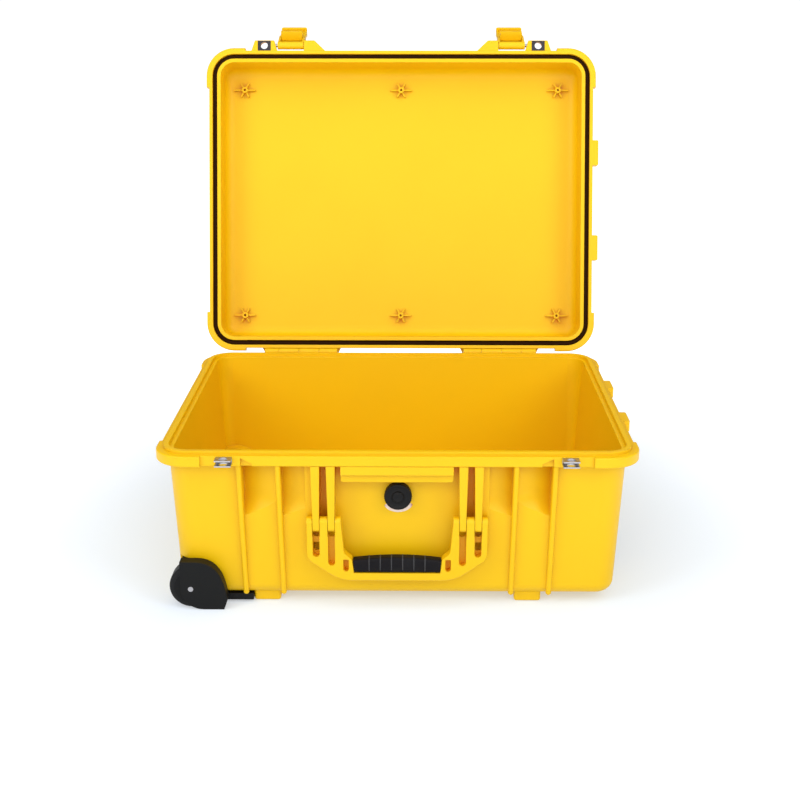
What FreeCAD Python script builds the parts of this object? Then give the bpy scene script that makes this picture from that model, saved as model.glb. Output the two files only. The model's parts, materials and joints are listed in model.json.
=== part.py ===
import FreeCAD, Part
import math
import os

# Wheeled protective case, shown with its lid and latches open.
# +X is the end with the pull handle, -Y the front, +Z up.
# The origin is on the floor below the centre of the rim. All lengths are in millimetres.

Vec = FreeCAD.Vector
ORIGIN = Vec(0, 0, 0)
X_AXIS = Vec(1, 0, 0)
Y_AXIS = Vec(0, 1, 0)
UP = Vec(0, 0, 1)

# Rim
RIM_LENGTH = 552.0
RIM_WIDTH = 427.0
RIM_CORNER_R = 36.0
RIM_Z = 193.0
FLANGE_HEIGHT = 13.0
FLANGE_EDGE_R = 2.0
BULGE_PROUD = 4.0
BULGE_REACH = 52.0
MOUTH_INSET = 16.6
TONGUE_INSET = 5.0
TONGUE_WIDTH = 6.0
TONGUE_HEIGHT = 4.0

# Shells
WALL = 4.0
FLOOR_WALL = 5.0
BODY_INSET = 10.3
BODY_CORNER_R = 30.0
BODY_EDGE_R = 15.0
HOLLOW_EDGE_R = 9.0
DRAFT_DEG = 2.85
LID_DEPTH = 45.0
LID_EDGE_R = 14.0
LID_HOLLOW_EDGE_R = 14.0
LID_OPEN_DEG = 105.74
PAD_PROUD = 2.5
PAD_LENGTH = 300.0

# General clearances
OVERRUN = 30.0
GAP = 0.3
RUNNING_GAP = 0.05
SEAT_GAP = 0.15

# Seal
GROOVE_SIDE_GAP = 0.4
SEAL_HEIGHT = 5.0
SEAL_EDGE_R = 2.0

# Feet
FOOT_HEIGHT = 11.0
FOOT_WIDTH = 31.6
FOOT_DEPTH = 30.0
FOOT_INSET = 26.0
FOOT_EDGE_R = 3.0

# Lid screw bosses
BOSS_Y = 165.0
BOSS_R = 4.5
BOSS_HEIGHT = 8.0
BOSS_PILOT_R = 1.6
BOSS_PILOT_DEPTH = 9.0
GUSSET_REACH = 15.5
GUSSET_SHORT_REACH = 11.5
GUSSET_THICK = 2.2
GUSSET_COUNT = 6

# Hinges
HINGE_OFFSET = 5.7
HINGE_RISE = 1.8
KNUCKLE_R = 5.4
KNUCKLE_GAP = 0.4
HINGE_PIN_R = 2.0
KNUCKLE_WIDTHS = (26.6, 29.0, 29.0, 20.4)
HINGE_PAD_DEPTH = 8.5
HINGE_PAD_HEIGHT = 7.0
HINGE_PAD_SLOPE = 5.0

# Latches
LATCH_WIDTH = 37.5
LATCH_SIDE_GAP = 0.5
LATCH_OPEN_DEG = 148.0
LATCH_PIN_OUT = 9.0
LATCH_PIN_RISE = 7.5
LATCH_PIN_R = 2.5
LATCH_BARREL_R = 5.5
LATCH_PLATE = 4.5
LATCH_FACE_OUT = 5.5
LEVER_PIN_DROP = 30.0
LEVER_PIN_R = 2.0
LEVER_BARREL_R = 4.2
LEVER_LENGTH = 42.0
LEVER_PLATE = 4.0
LEVER_CHEEK = 3.0
LEVER_LIP_REACH = 4.0
LEVER_LIP_HEIGHT = 4.5
LEVER_LIP_R = 3.0
LEVER_END_REACH = 9.0
LEVER_END_R = 1.6
HOOK_REACH = 4.5
HOOK_HEIGHT = 4.0
HOOK_GAP = 0.5

# Lid tabs that carry the latches
TAB_OUT = 15.0
TAB_HEIGHT = 12.0
TAB_RISE = 0.5
TAB_OUTER_SLOPE = 6.0
TAB_INNER_SLOPE = 18.0
TAB_EDGE_R = 1.5
TAB_BAY_FLARE = 4.4

# Padlock plates
PLATE_WIDTH = 18.5
PLATE_THICK = 1.6
PLATE_REACH = 14.0
PLATE_HOLE_R = 5.0
PLATE_HOLE_OUT = 7.5
PLATE_RELIEF = 1.2
PLATE_DROP = 0.8
PLATE_LEG_SPACE = 4.6

# Front ribs and pockets
RIB_WIDTH = 6.2
RIB_FLANGE_SETBACK = 1.5
RIB_LOW_PROUD = 4.5
RIB_LOW_Z = 18.2
RIB_LEAN = 2.2
RIB_ROOT = 19.5
RIB_END_R = 2.4
RIB_FOOT_DEPTH = 27.0
RIB_FOOT_RISE = 14.0
RIB_BALL_R = 3.4
RIB_BALL_Z = 16.2
POCKET_DEPTH = 29.0
POCKET_RISE = 15.0
POCKET_FLOOR_Z = 142.0
POCKET_LOW_Z = 115.0
SCOOP_DEPTH = 25.0
SCOOP_RISE = 7.0
SCOOP_GAP = 1.5
NOTCH_LENGTH = 13.0
NOTCH_HIGH_Z = 190.3
NOTCH_LOW_Z = 183.7
NOTCH_DEPTH = 4.0

# Carrying handles
END_ARM_X = 68.0
ARM_WIDTH = 40.0
FIN_WIDTH = 7.9
FIN_SPACING = 17.8
FIN_FLARE = 1.2
FIN_SETBACK = 0.6
FIN_LOW_Z = 98.4
FIN_FLARE_Z = 120.0
PRONG_GAP = 0.4
HANDLE_THICK = 12.5
HANDLE_PIVOT_Z = 110.5
HANDLE_PIN_R = 2.0
HANDLE_SHOULDER_Z = 65.0
HANDLE_LOW_Z = 38.0
HANDLE_CORNER_INSET = 38.0
HANDLE_SHOULDER_R = 14.0
HANDLE_BEND_R = 48.0
HANDLE_HOLE_TAPER = 3.4
HANDLE_HOLE_SIDE_Z = 73.0
HANDLE_HOLE_R = 9.0
FIN_SLOT_LOW_Z = 90.3
CORE_SLOT_DEPTH = 9.5
OUTER_SLOT_LOW_Z = 68.3
OUTER_HOLE_LOW_Z = 73.0
OUTER_HOLE_HIGH_Z = 83.4
INNER_SLOT_LOW_Z = 57.4
SHORT_SLOT_INSET = 25.6
SHORT_SLOT_WIDTH = 6.3
SHORT_SLOT_LOW_Z = 50.0
SHORT_SLOT_HIGH_Z = 65.0
HANDLE_EDGE_R = 1.8
GRIP_INSET = 12.9
GRIP_LOW_Z = 48.2
GRIP_HIGH_Z = 64.5
GRIP_ARCH = 3.5
GRIP_FLARE = 2.0
GRIP_PROUD = 0.9
GRIP_EDGE_R = 2.5
GRIP_GROOVE_WIDTH = 1.8
GRIP_GROOVE_DEPTH = 1.3
GRIP_GROOVES = 6
GRIP_CORE_HEIGHT = 10.0
GRIP_CORE_THICK = 6.0
RECESS_DEPTH = 25.5
RECESS_LOW_Z = 50.0
RECESS_CORNER_R = 10.0
APRON_END_GAP = 7.5
APRON_SETBACK = 0.8
APRON_LOW_Z = 169.6
SILL_SETBACK = 6.5
SILL_LOW_Z = 159.3
SILL_CORNER_R = 3.0
END_BUMP_LENGTH = 36.0
END_BUMP_PROUD = 8.0

# Purge valve
VALVE_X = 1.0
VALVE_Z = 137.6
VALVE_R = 15.7
VALVE_FLANGE = 3.5
VALVE_CAP_R = 16.3
VALVE_CAP_HEIGHT = 6.5
VALVE_HUB_R = 6.5
VALVE_HUB_HEIGHT = 1.6
VALVE_STEM_R = 7.5
VALVE_STEM_REACH = 9.0
VALVE_GASKET = 1.2
VALVE_NUT_R = 11.5
VALVE_NUT_HEIGHT = 4.0
VALVE_VENTS = 8
VALVE_VENT_WIDTH = 2.6
VALVE_VENT_DEPTH = 1.5

# Wheels
AXLE_INSET = 33.5
AXLE_Z = 26.3
AXLE_R = 3.1
WHEEL_R = 26.2
WHEEL_WIDTH = 24.0
TYRE_THICK = 6.0
TYRE_EDGE_R = 4.0
BEARING_R = 8.0
BEARING_WIDTH = 6.0
WHEEL_SIDE_GAP = 1.5
WHEEL_ROUND_GAP = 1.5
CHEEK = 4.0
CHEEK_NOSE_R = 25.6
CHEEK_TOP_Z = 60.6
CHEEK_CROWN_SHIFT = 6.5
CHEEK_SHOULDER_SHIFT = 39.5
CHEEK_REACH = 42.5
CHEEK_DEPTH = 13.5
HOUSING_LOW_Z = 0.5
HOUSING_BACK = 11.7
WELL_TOP_Z = 58.0
WELL_CROWN_SHIFT = 2.8
WELL_SHOULDER_SHIFT = 34.4
WELL_REACH = 41.5
WELL_HEEL = 4.0
WELL_GAP = 0.4
STAY_HEIGHT = 8.0
STAY_ROOT = 8.0
STAY_OUT = 14.0
STAY_DEPTH = 30.0
SCREW_HEAD_R = 3.6
SCREW_HEAD_HEIGHT = 2.2
SCREW_SHANK_R = 1.8
SCREW_LENGTH = 8.0
SCREW_TIP_COVER = 1.5
STAY_SCREW_EDGE = 6.0
STAY_SCREW_PITCH = 14.0

# Pull handle under the base
PULL_SPREAD = 60.0
SLEEVE_R = 8.0
SLEEVE_BORE_R = 6.5
SLEEVE_COLLAR_R = 10.5
SLEEVE_COLLAR = 3.0
TUBE_R = 6.44
TUBE_BORE_R = 5.2
TUBE_END_GAP = 6.0
TUBE_SOCKET = 11.0
TROUGH_HALF_WIDTH = 80.0
COVER_THICK = 2.5
COVER_REBATE = 8.0
COVER_BOSS_R = 5.5
COVER_BOSS_HEIGHT = 14.0
SADDLE_THICK = 2.5
SADDLE_LENGTH = 16.0
GRIP_BAY_DEPTH = 36.0
GRIP_BAY_HALF_WIDTH = 84.0
GRIP_BAY_HIGH_Z = 39.0
PULL_GRIP_HALF_WIDTH = 76.0
PULL_GRIP_DEPTH = 17.0
PULL_GRIP_SETBACK = 2.0
PULL_GRIP_LOW_Z = 14.5
PULL_GRIP_HIGH_Z = 35.0
PULL_GRIP_EDGE_R = 4.0
BUTTON_HALF_WIDTH = 15.0
BUTTON_HEIGHT = 9.0
BUTTON_DEPTH = 7.0
BUTTON_PROUD = 2.0
BUTTON_BACK_SPACE = 5.0
BUTTON_EDGE_R = 1.2
SPRING_R = 2.6
SPRING_WIRE_R = 0.4
SPRING_TURNS = 3

# Places along the rim, as shares of its half length
BOSS_SHARE = 0.8315
FOOT_SHARE = 0.5623
LATCH_SHARE = 0.5761
TAB_OUTER_SHARE = 0.7826
TAB_INNER_SHARE = 0.3877
PLATE_SHARE = 0.6793
FRONT_ARM_SHARE = 0.308
HINGE_SHARE = 0.3297
TROUGH_SHARE = 0.5435
COVER_SCREW_SHARE = 0.3986
SADDLE_SHARE = 0.4348

# Worked out from the sizes above
HALF_X = RIM_LENGTH / 2
HALF_Y = RIM_WIDTH / 2
BOSS_X = HALF_X * BOSS_SHARE
FOOT_X = HALF_X * FOOT_SHARE
LATCH_X = HALF_X * LATCH_SHARE
TAB_OUTER_X = HALF_X * TAB_OUTER_SHARE
TAB_INNER_X = HALF_X * TAB_INNER_SHARE
PLATE_INNER_X = HALF_X * PLATE_SHARE
FRONT_ARM_X = HALF_X * FRONT_ARM_SHARE
SCOOP_INNER_X = FRONT_ARM_X + ARM_WIDTH / 2 + SCOOP_GAP
HINGE_INNER_X = HALF_X * HINGE_SHARE
AXLE_X = AXLE_INSET - HALF_X
TROUGH_LEFT_X = -HALF_X * TROUGH_SHARE
COVER_SCREW_X = HALF_X * COVER_SCREW_SHARE
SADDLE_PITCH = HALF_X * SADDLE_SHARE
TAPER = math.tan(math.radians(DRAFT_DEG))
FLANGE_LOW_Z = RIM_Z - FLANGE_HEIGHT
LID_FLANGE_Z = RIM_Z + FLANGE_HEIGHT
LID_TOP_Z = RIM_Z + LID_DEPTH + WALL
FLOOR_Z = FOOT_HEIGHT + FLOOR_WALL
HINGE_Y = HALF_Y + HINGE_OFFSET
HINGE_Z = RIM_Z + HINGE_RISE
HINGE_LINE = Vec(0, HINGE_Y, HINGE_Z)
LATCH_PIN_Y = -HALF_Y - LATCH_PIN_OUT
LATCH_PIN_Z = RIM_Z + LATCH_PIN_RISE
LATCH_LINE = Vec(0, LATCH_PIN_Y, LATCH_PIN_Z)
LEVER_PIN_Z = LATCH_PIN_Z - LEVER_PIN_DROP
LEVER_LINE = Vec(0, LATCH_PIN_Y, LEVER_PIN_Z)
LATCH_BAY = LATCH_WIDTH + 2 * LATCH_SIDE_GAP
PLATE_X = PLATE_INNER_X + PLATE_WIDTH / 2
HANDLE_PIVOT_Y = HANDLE_THICK / 2
WELL_INNER_Y = HALF_Y - 2 * CHEEK - WHEEL_WIDTH - 2 * WHEEL_SIDE_GAP - WELL_GAP
WHEEL_Y = HALF_Y - CHEEK - WHEEL_SIDE_GAP - WHEEL_WIDTH / 2
TUBE_Z = FOOT_HEIGHT + COVER_THICK + GAP + SLEEVE_R
TROUGH_HIGH_Z = TUBE_Z + SLEEVE_R + GAP
END_WALL_X = HALF_X - BODY_INSET - (FLANGE_LOW_Z - FOOT_HEIGHT) * TAPER
GRIP_BAY_X = END_WALL_X - GRIP_BAY_DEPTH
TROUGH_RIGHT_X = GRIP_BAY_X - 2 * WALL
PULL_GRIP_X = END_WALL_X - PULL_GRIP_SETBACK
STAY_SCREW_LENGTH = STAY_HEIGHT + FLOOR_WALL - SCREW_TIP_COVER


def box(x, y, z):
    """Block between a pair of limits on each axis."""
    size = [abs(pair[1] - pair[0]) for pair in (x, y, z)]
    return Part.makeBox(size[0], size[1], size[2], Vec(min(x), min(y), min(z)))


def rod(radius, start, length, axis):
    return Part.makeCylinder(radius, length, start, axis)


def ring(outer, inner, start, length, axis):
    return rod(outer, start, length, axis).cut(rod(inner, start, length, axis))


def mirror_x(shape):
    return shape.mirror(ORIGIN, X_AXIS)


def mirror_y(shape):
    return shape.mirror(ORIGIN, Y_AXIS)


def with_twin(shapes):
    """The shapes of the right half with their twins on the left."""
    return shapes + [mirror_x(shape) for shape in shapes]


def polygon_block(points, direction):
    """Flat outline through the points, drawn out along a direction."""
    return Part.Face(Part.makePolygon(points + points[:1])).extrude(direction)


def rounded_wire(half_x, half_y, radius, z):
    arcs = []
    for quarter, (side_x, side_y) in enumerate(((1, 1), (-1, 1), (-1, -1), (1, -1))):
        centre = Vec(side_x * (half_x - radius), side_y * (half_y - radius), z)
        arcs.append(Part.makeCircle(radius, centre, UP, 90 * quarter, 90 * quarter + 90))
    edges = []
    for index, arc in enumerate(arcs):
        follower = arcs[(index + 1) % len(arcs)]
        edges.append(arc)
        edges.append(Part.makeLine(arc.Vertexes[-1].Point, follower.Vertexes[0].Point))
    return Part.Wire(edges)


def rounded_block(half_x, half_y, radius, low, high):
    return Part.Face(rounded_wire(half_x, half_y, radius, low)).extrude(Vec(0, 0, high - low))


def rim_block(inset, low, high):
    """Upright block whose side runs at an even distance inside the rim."""
    return rounded_block(HALF_X - inset, HALF_Y - inset, RIM_CORNER_R - inset, low, high)


def tray(inset, radius, wide_z, narrow_z, edge_r):
    """Drafted block with a rounded edge round its narrow face."""
    shrink = abs(wide_z - narrow_z) * TAPER
    wide = rounded_wire(HALF_X - inset, HALF_Y - inset, radius, wide_z)
    narrow = rounded_wire(HALF_X - inset - shrink, HALF_Y - inset - shrink, radius - shrink, narrow_z)
    solid = Part.makeLoft([wide, narrow], True, True)
    return solid.makeFillet(edge_r, level_edges(solid, narrow_z))


def level_edges(shape, z):
    """Edges that lie in the level plane at z."""
    return [edge for edge in shape.Edges if abs(edge.BoundBox.ZMin - z) + abs(edge.BoundBox.ZMax - z) < GAP]


def edges_along(shape, axis):
    """Straight edges that run along an axis."""
    found = []
    for edge in shape.Edges:
        if isinstance(edge.Curve, Part.Line) and abs(edge.Curve.Direction.dot(axis)) > 1 - 1e-6:
            found.append(edge)
    return found


def edges_at(shape, height):
    """Edges along the handle's thickness at one height."""
    return [edge for edge in edges_along(shape, Y_AXIS) if abs(edge.CenterOfMass.z - height) < GAP]


def panel_depth(z):
    """How far the drafted wall stands behind the rim's outer face."""
    return BODY_INSET + (FLANGE_LOW_Z - z) * TAPER


def on_front(shape):
    """Places a form drawn with the rim's outer face at y = 0 on the front."""
    return shape.translated(Vec(0, -HALF_Y, 0))


def on_right_end(shape):
    return shape.rotated(ORIGIN, UP, 90).translated(Vec(HALF_X, 0, 0))


def open_lid(shape):
    return shape.rotated(HINGE_LINE, X_AXIS, -LID_OPEN_DEG)


def open_latch(shape):
    return open_lid(shape.rotated(LATCH_LINE, X_AXIS, -LATCH_OPEN_DEG))


def save(name, shape):
    shape.exportStep("parts/%s.step" % name)


def fused(first, others):
    return first.fuse(others).removeSplitter()


# Rim forms shared by the base and the lid

def flange(low, high, edge_z):
    """Rim band with its corner bulges and the bumps over the end handle."""
    band = rim_block(0, low, high)
    band = band.makeFillet(FLANGE_EDGE_R, level_edges(band, edge_z))
    bulge = rim_block(-BULGE_PROUD, low, high)
    bulge = bulge.makeFillet(FLANGE_EDGE_R, level_edges(bulge, low) + level_edges(bulge, high))
    far_x = HALF_X + OVERRUN
    far_y = HALF_Y + OVERRUN
    corners = []
    for side_x in (-1, 1):
        for side_y in (-1, 1):
            reach_x = (side_x * (HALF_X - BULGE_REACH), side_x * far_x)
            reach_y = (side_y * (HALF_Y - BULGE_REACH), side_y * far_y)
            corners.append(bulge.common(box(reach_x, reach_y, (low, high))))
    return fused(band, corners + end_bumps(low, high))


def end_bumps(low, high):
    bumps = []
    for side in (-1, 1):
        middle = side * END_ARM_X
        reach_y = (middle - END_BUMP_LENGTH / 2, middle + END_BUMP_LENGTH / 2)
        bump = box((HALF_X - BODY_INSET, HALF_X + END_BUMP_PROUD), reach_y, (low, high))
        outer = [edge for edge in edges_along(bump, UP) if edge.CenterOfMass.x > HALF_X]
        bumps.append(bump.makeFillet(FLANGE_EDGE_R, outer))
    return bumps


# Hinges

def knuckle_spans(first):
    """Limits of every second knuckle of the right hinge, counted from first."""
    spans = []
    edge = HINGE_INNER_X
    for index, width in enumerate(KNUCKLE_WIDTHS):
        if index % 2 == first:
            spans.append((edge + KNUCKLE_GAP / 2, edge + width - KNUCKLE_GAP / 2))
        edge += width
    return spans


def hinge_pad(low, high):
    """Tapered pad of the right hinge behind the rim."""
    inner = HINGE_INNER_X
    outer = HINGE_INNER_X + sum(KNUCKLE_WIDTHS)
    root = HALF_Y - FLANGE_EDGE_R
    tip = HALF_Y + HINGE_PAD_DEPTH
    slope = HINGE_PAD_SLOPE
    points = [Vec(inner - slope, root, low), Vec(outer + slope, root, low)]
    points += [Vec(outer, tip, low), Vec(inner, tip, low)]
    return polygon_block(points, Vec(0, 0, high - low))


def hinge_knuckles(first, low, high):
    """Knuckles of one half of the right hinge, joined to their pad by a web between low and high."""
    forms = []
    for start, end in knuckle_spans(first):
        barrel = rod(KNUCKLE_R, Vec(start, HINGE_Y, HINGE_Z), end - start, X_AXIS)
        web_y = (HINGE_Y - KNUCKLE_R, HALF_Y + HINGE_PAD_DEPTH)
        forms.append(barrel.fuse(box((start, end), web_y, (low, high))))
    return forms


def hinge_bore():
    width = sum(KNUCKLE_WIDTHS)
    start = Vec(HINGE_INNER_X - OVERRUN, HINGE_Y, HINGE_Z)
    return rod(HINGE_PIN_R + RUNNING_GAP, start, width + 2 * OVERRUN, X_AXIS)


def hinge_pin():
    return rod(HINGE_PIN_R, Vec(HINGE_INNER_X, HINGE_Y, HINGE_Z), sum(KNUCKLE_WIDTHS), X_AXIS)


# Base shell

def base_blank():
    """Solid outside of the base below its rim."""
    return tray(BODY_INSET, BODY_CORNER_R, FLANGE_LOW_Z, FOOT_HEIGHT, BODY_EDGE_R)


def base_hollow():
    hollow = tray(MOUTH_INSET, RIM_CORNER_R - MOUTH_INSET, RIM_Z, FLOOR_Z, HOLLOW_EDGE_R)
    return hollow.fuse(rim_block(MOUTH_INSET, RIM_Z, RIM_Z + OVERRUN))


def tongue():
    high = RIM_Z + TONGUE_HEIGHT
    outer = rim_block(TONGUE_INSET, RIM_Z - FLANGE_EDGE_R, high)
    return outer.cut(rim_block(TONGUE_INSET + TONGUE_WIDTH, RIM_Z - FLANGE_EDGE_R, high))


def pocket(inner_x, outer_x, depth, rise, grow):
    """Scooped pocket under the front rim, deeper at its outer side; grown by a wall, it is its lining."""
    low = POCKET_LOW_Z - grow
    high = FLANGE_LOW_Z + grow
    floor = depth + grow
    start = outer_x + grow
    outside = -OVERRUN if grow == 0 else 0
    lip = Vec(start, panel_depth(low) + grow, low)
    knee = Vec(start, floor, POCKET_FLOOR_Z)
    bend = Vec(start, floor, (POCKET_FLOOR_Z + low) / 2)
    edges = [
        Part.makeLine(Vec(start, outside, high), Vec(start, floor, high)),
        Part.makeLine(Vec(start, floor, high), knee),
        bezier(knee, bend, lip),
        Part.makeLine(lip, Vec(start, outside, low)),
        Part.makeLine(Vec(start, outside, low), Vec(start, outside, high)),
    ]
    profile = Part.Face(Part.Wire(edges))
    return on_front(profile.extrude(Vec(inner_x - outer_x - 2 * grow, -rise, 0)))


def bezier(start, pull, end):
    curve = Part.BezierCurve()
    curve.setPoles([start, pull, end])
    return curve.toShape()


def latch_pockets(grow):
    inner = LATCH_X - LATCH_BAY / 2
    outer = LATCH_X + LATCH_BAY / 2
    return [
        pocket(inner, outer, POCKET_DEPTH, POCKET_RISE, grow),
        pocket(SCOOP_INNER_X, inner - RIB_WIDTH, SCOOP_DEPTH, SCOOP_RISE, grow),
    ]


def front_ribs():
    """The two upright ribs beside the right latch pocket, each with a ball at its foot."""
    ribs = []
    for inner in (LATCH_X - LATCH_BAY / 2 - RIB_WIDTH, LATCH_X + LATCH_BAY / 2):
        low_face = panel_depth(RIB_LOW_Z) - RIB_LOW_PROUD
        knee_z = RIB_LOW_Z + RIB_FOOT_RISE
        knee_lean = RIB_LEAN * (FLANGE_LOW_Z - knee_z) / (FLANGE_LOW_Z - RIB_LOW_Z)
        low_x = inner - RIB_LEAN
        points = [
            Vec(inner, RIB_ROOT, FLANGE_LOW_Z),
            Vec(inner, RIB_FLANGE_SETBACK, FLANGE_LOW_Z),
            Vec(low_x, low_face, RIB_LOW_Z),
            Vec(low_x, RIB_FOOT_DEPTH, RIB_LOW_Z),
            Vec(inner - knee_lean, RIB_ROOT, knee_z),
        ]
        rib = polygon_block(points, Vec(RIB_WIDTH, 0, 0))
        front_edges = [edge for edge in rib.Edges if edge.CenterOfMass.y < (low_face + RIB_ROOT) / 2]
        long_edges = [edge for edge in front_edges if edge.Length > RIB_FOOT_DEPTH]
        ball_centre = Vec(low_x + RIB_WIDTH / 2, low_face + RIB_BALL_R, RIB_BALL_Z)
        ribs.append(on_front(rib.makeFillet(RIB_END_R, long_edges)))
        ribs.append(on_front(Part.makeSphere(RIB_BALL_R, ball_centre)))
    return ribs


def hook_notch():
    """Sloping notch in the rim above the outer end of the right latch pocket."""
    outer = LATCH_X + LATCH_BAY / 2
    low = FLANGE_LOW_Z - GAP
    points = [
        Vec(outer, -OVERRUN, low),
        Vec(outer, -OVERRUN, NOTCH_HIGH_Z),
        Vec(outer - NOTCH_LENGTH, -OVERRUN, NOTCH_LOW_Z),
        Vec(outer - NOTCH_LENGTH, -OVERRUN, low),
    ]
    return on_front(polygon_block(points, Vec(0, OVERRUN + NOTCH_DEPTH, 0)))


def foot(side_y):
    outer = HALF_Y - FOOT_INSET
    reach_y = (side_y * (outer - FOOT_DEPTH), side_y * outer)
    block = box((FOOT_X - FOOT_WIDTH / 2, FOOT_X + FOOT_WIDTH / 2), reach_y, (0, FOOT_HEIGHT + WALL))
    return block.makeFillet(FOOT_EDGE_R, edges_along(block, UP) + level_edges(block, 0))


def handle_fins(arm_x, root):
    """Two fins of the right arm, rooted in the wall, drawn with the rim's outer face at y = 0."""
    fins = []
    for side in (-1, 1):
        middle = arm_x + side * FIN_SPACING / 2
        half = FIN_WIDTH / 2
        points = []
        for sign, heights in ((1, (FIN_LOW_Z, FIN_FLARE_Z)), (-1, (FIN_FLARE_Z, FIN_LOW_Z))):
            edge = [Vec(middle + sign * half, FIN_SETBACK, z) for z in heights]
            flared = Vec(middle + sign * (half + FIN_FLARE), FIN_SETBACK, FLANGE_LOW_Z)
            points += edge + [flared] if sign > 0 else [flared] + edge
        fin = polygon_block(points, Vec(0, root - FIN_SETBACK, 0))
        nose = [edge for edge in edges_along(fin, X_AXIS) if edge.CenterOfMass.z < FIN_LOW_Z + GAP]
        front_nose = [edge for edge in nose if edge.CenterOfMass.y < FIN_SETBACK + GAP]
        fins.append(fin.makeFillet(HANDLE_PIVOT_Y - FIN_SETBACK, front_nose))
    return fins


def handle_recess(half, high, grow):
    """Hollow behind a carrying handle, or the lining that backs it when it is grown by a wall."""
    outside = -OVERRUN if grow == 0 else 0
    reach_z = (RECESS_LOW_Z - grow, high + grow)
    block = box((-half - grow, half + grow), (outside, RECESS_DEPTH + grow), reach_z)
    low = [edge for edge in edges_along(block, Y_AXIS) if edge.CenterOfMass.z < RECESS_LOW_Z + GAP]
    return block.makeFillet(RECESS_CORNER_R + grow, low)


def handle_recesses(grow):
    """The front recess reaches up to the rim, the one at the end only gives room for the fingers."""
    front_half = FRONT_ARM_X + FIN_SPACING / 2 + FIN_WIDTH / 2
    end_half = END_ARM_X - ARM_WIDTH / 2
    return [
        on_front(handle_recess(front_half, FLANGE_LOW_Z, grow)),
        on_right_end(handle_recess(end_half, FIN_LOW_Z, grow)),
    ]


def handle_apron(arm_x):
    """Stepped sill under the rim between the arms."""
    half = arm_x - FIN_SPACING / 2 - FIN_WIDTH / 2 - APRON_END_GAP
    upper = box((-half, half), (APRON_SETBACK, RECESS_DEPTH), (APRON_LOW_Z, FLANGE_LOW_Z))
    lower = box((-half, half), (SILL_SETBACK, RECESS_DEPTH), (SILL_LOW_Z, APRON_LOW_Z))
    corners = [edge for edge in edges_along(lower, Y_AXIS) if edge.CenterOfMass.z < SILL_LOW_Z + GAP]
    return upper.fuse(lower.makeFillet(SILL_CORNER_R, corners))


def handle_pin_line(arm_x, radius, spare):
    start = Vec(arm_x - ARM_WIDTH / 2 - spare, HANDLE_PIVOT_Y, HANDLE_PIVOT_Z)
    return rod(radius, start, ARM_WIDTH + 2 * spare, X_AXIS)


def arch(left_x, top_z, crown_x, shoulder_x, side_x):
    """Face of a wheel's arched outline, in front of the case."""
    start_y = -HALF_Y - OVERRUN
    crown = Vec(crown_x, start_y, top_z)
    side = Vec(side_x, start_y, FOOT_HEIGHT)
    heel = Vec(side_x - WELL_HEEL, start_y, 0)
    heel_low = Vec(heel.x, start_y, -OVERRUN)
    left_low = Vec(left_x, start_y, -OVERRUN)
    left_high = Vec(left_x, start_y, top_z)
    edges = [
        Part.makeLine(left_high, crown),
        bezier(crown, Vec(shoulder_x, start_y, top_z), side),
        Part.makeLine(side, heel),
        Part.makeLine(heel, heel_low),
        Part.makeLine(heel_low, left_low),
        Part.makeLine(left_low, left_high),
    ]
    return Part.Face(Part.Wire(edges))


def well(grow, left_x):
    """Wheel well of the front left corner, or its lining when it is grown by a wall."""
    shoulder = AXLE_X + WELL_SHOULDER_SHIFT + grow
    face = arch(left_x, WELL_TOP_Z + grow, AXLE_X + WELL_CROWN_SHIFT, shoulder, AXLE_X + WELL_REACH + grow)
    return face.extrude(Vec(0, HALF_Y + OVERRUN - WELL_INNER_Y + max(grow, 0), 0))


def wheel_wells(grow):
    front = well(grow, -HALF_X - OVERRUN)
    return [front, mirror_y(front)]


def trough(grow):
    """Space for the pull handle's sleeves, and the bay for its grip at the right end."""
    half = TROUGH_HALF_WIDTH + grow
    low = -OVERRUN
    channel = box((TROUGH_LEFT_X - grow, TROUGH_RIGHT_X + grow), (-half, half), (low, TROUGH_HIGH_Z + grow))
    bay_half = GRIP_BAY_HALF_WIDTH + grow
    bay = box((GRIP_BAY_X - grow, HALF_X), (-bay_half, bay_half), (low, GRIP_BAY_HIGH_Z + grow))
    return [channel, bay]


def cover_outline(shrink, low, high):
    half = TROUGH_HALF_WIDTH + COVER_REBATE - shrink
    left = TROUGH_LEFT_X - COVER_REBATE + shrink
    return box((left, TROUGH_RIGHT_X - shrink), (-half, half), (low, high))


def cover_screw_places():
    line = TROUGH_HALF_WIDTH + COVER_REBATE / 2
    return [(x, side * line) for x in (-COVER_SCREW_X, COVER_SCREW_X) for side in (-1, 1)]


def cover_bosses():
    bosses = []
    for x, y in cover_screw_places():
        bosses.append(rod(COVER_BOSS_R, Vec(x, y, FOOT_HEIGHT), COVER_BOSS_HEIGHT, UP))
    return bosses


def screw(x, y, z, length):
    """Screw driven upwards, with the underside of its head at z."""
    head = rod(SCREW_HEAD_R, Vec(x, y, z - SCREW_HEAD_HEIGHT), SCREW_HEAD_HEIGHT, UP)
    slot = rod(SCREW_SHANK_R, Vec(x, y, z - SCREW_HEAD_HEIGHT), SCREW_HEAD_HEIGHT / 2, UP)
    return head.cut(slot).fuse(rod(SCREW_SHANK_R, Vec(x, y, z), length, UP))


def screw_bore(x, y, z, length):
    return rod(SCREW_SHANK_R + RUNNING_GAP, Vec(x, y, z), length + GAP, UP)


def stay_limits():
    """Limits in x and y of the front housing's stay under the floor."""
    left = AXLE_X + WELL_REACH - STAY_ROOT
    right = -FOOT_X - FOOT_WIDTH / 2 - WELL_GAP
    return (left, right), (-WELL_INNER_Y - STAY_OUT, STAY_DEPTH - WELL_INNER_Y)


def stay_screw_places():
    reach_x, reach_y = stay_limits()
    x = reach_x[1] - STAY_SCREW_EDGE
    y = reach_y[1] - STAY_SCREW_EDGE
    return [(x, y), (x, y - STAY_SCREW_PITCH)]


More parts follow.
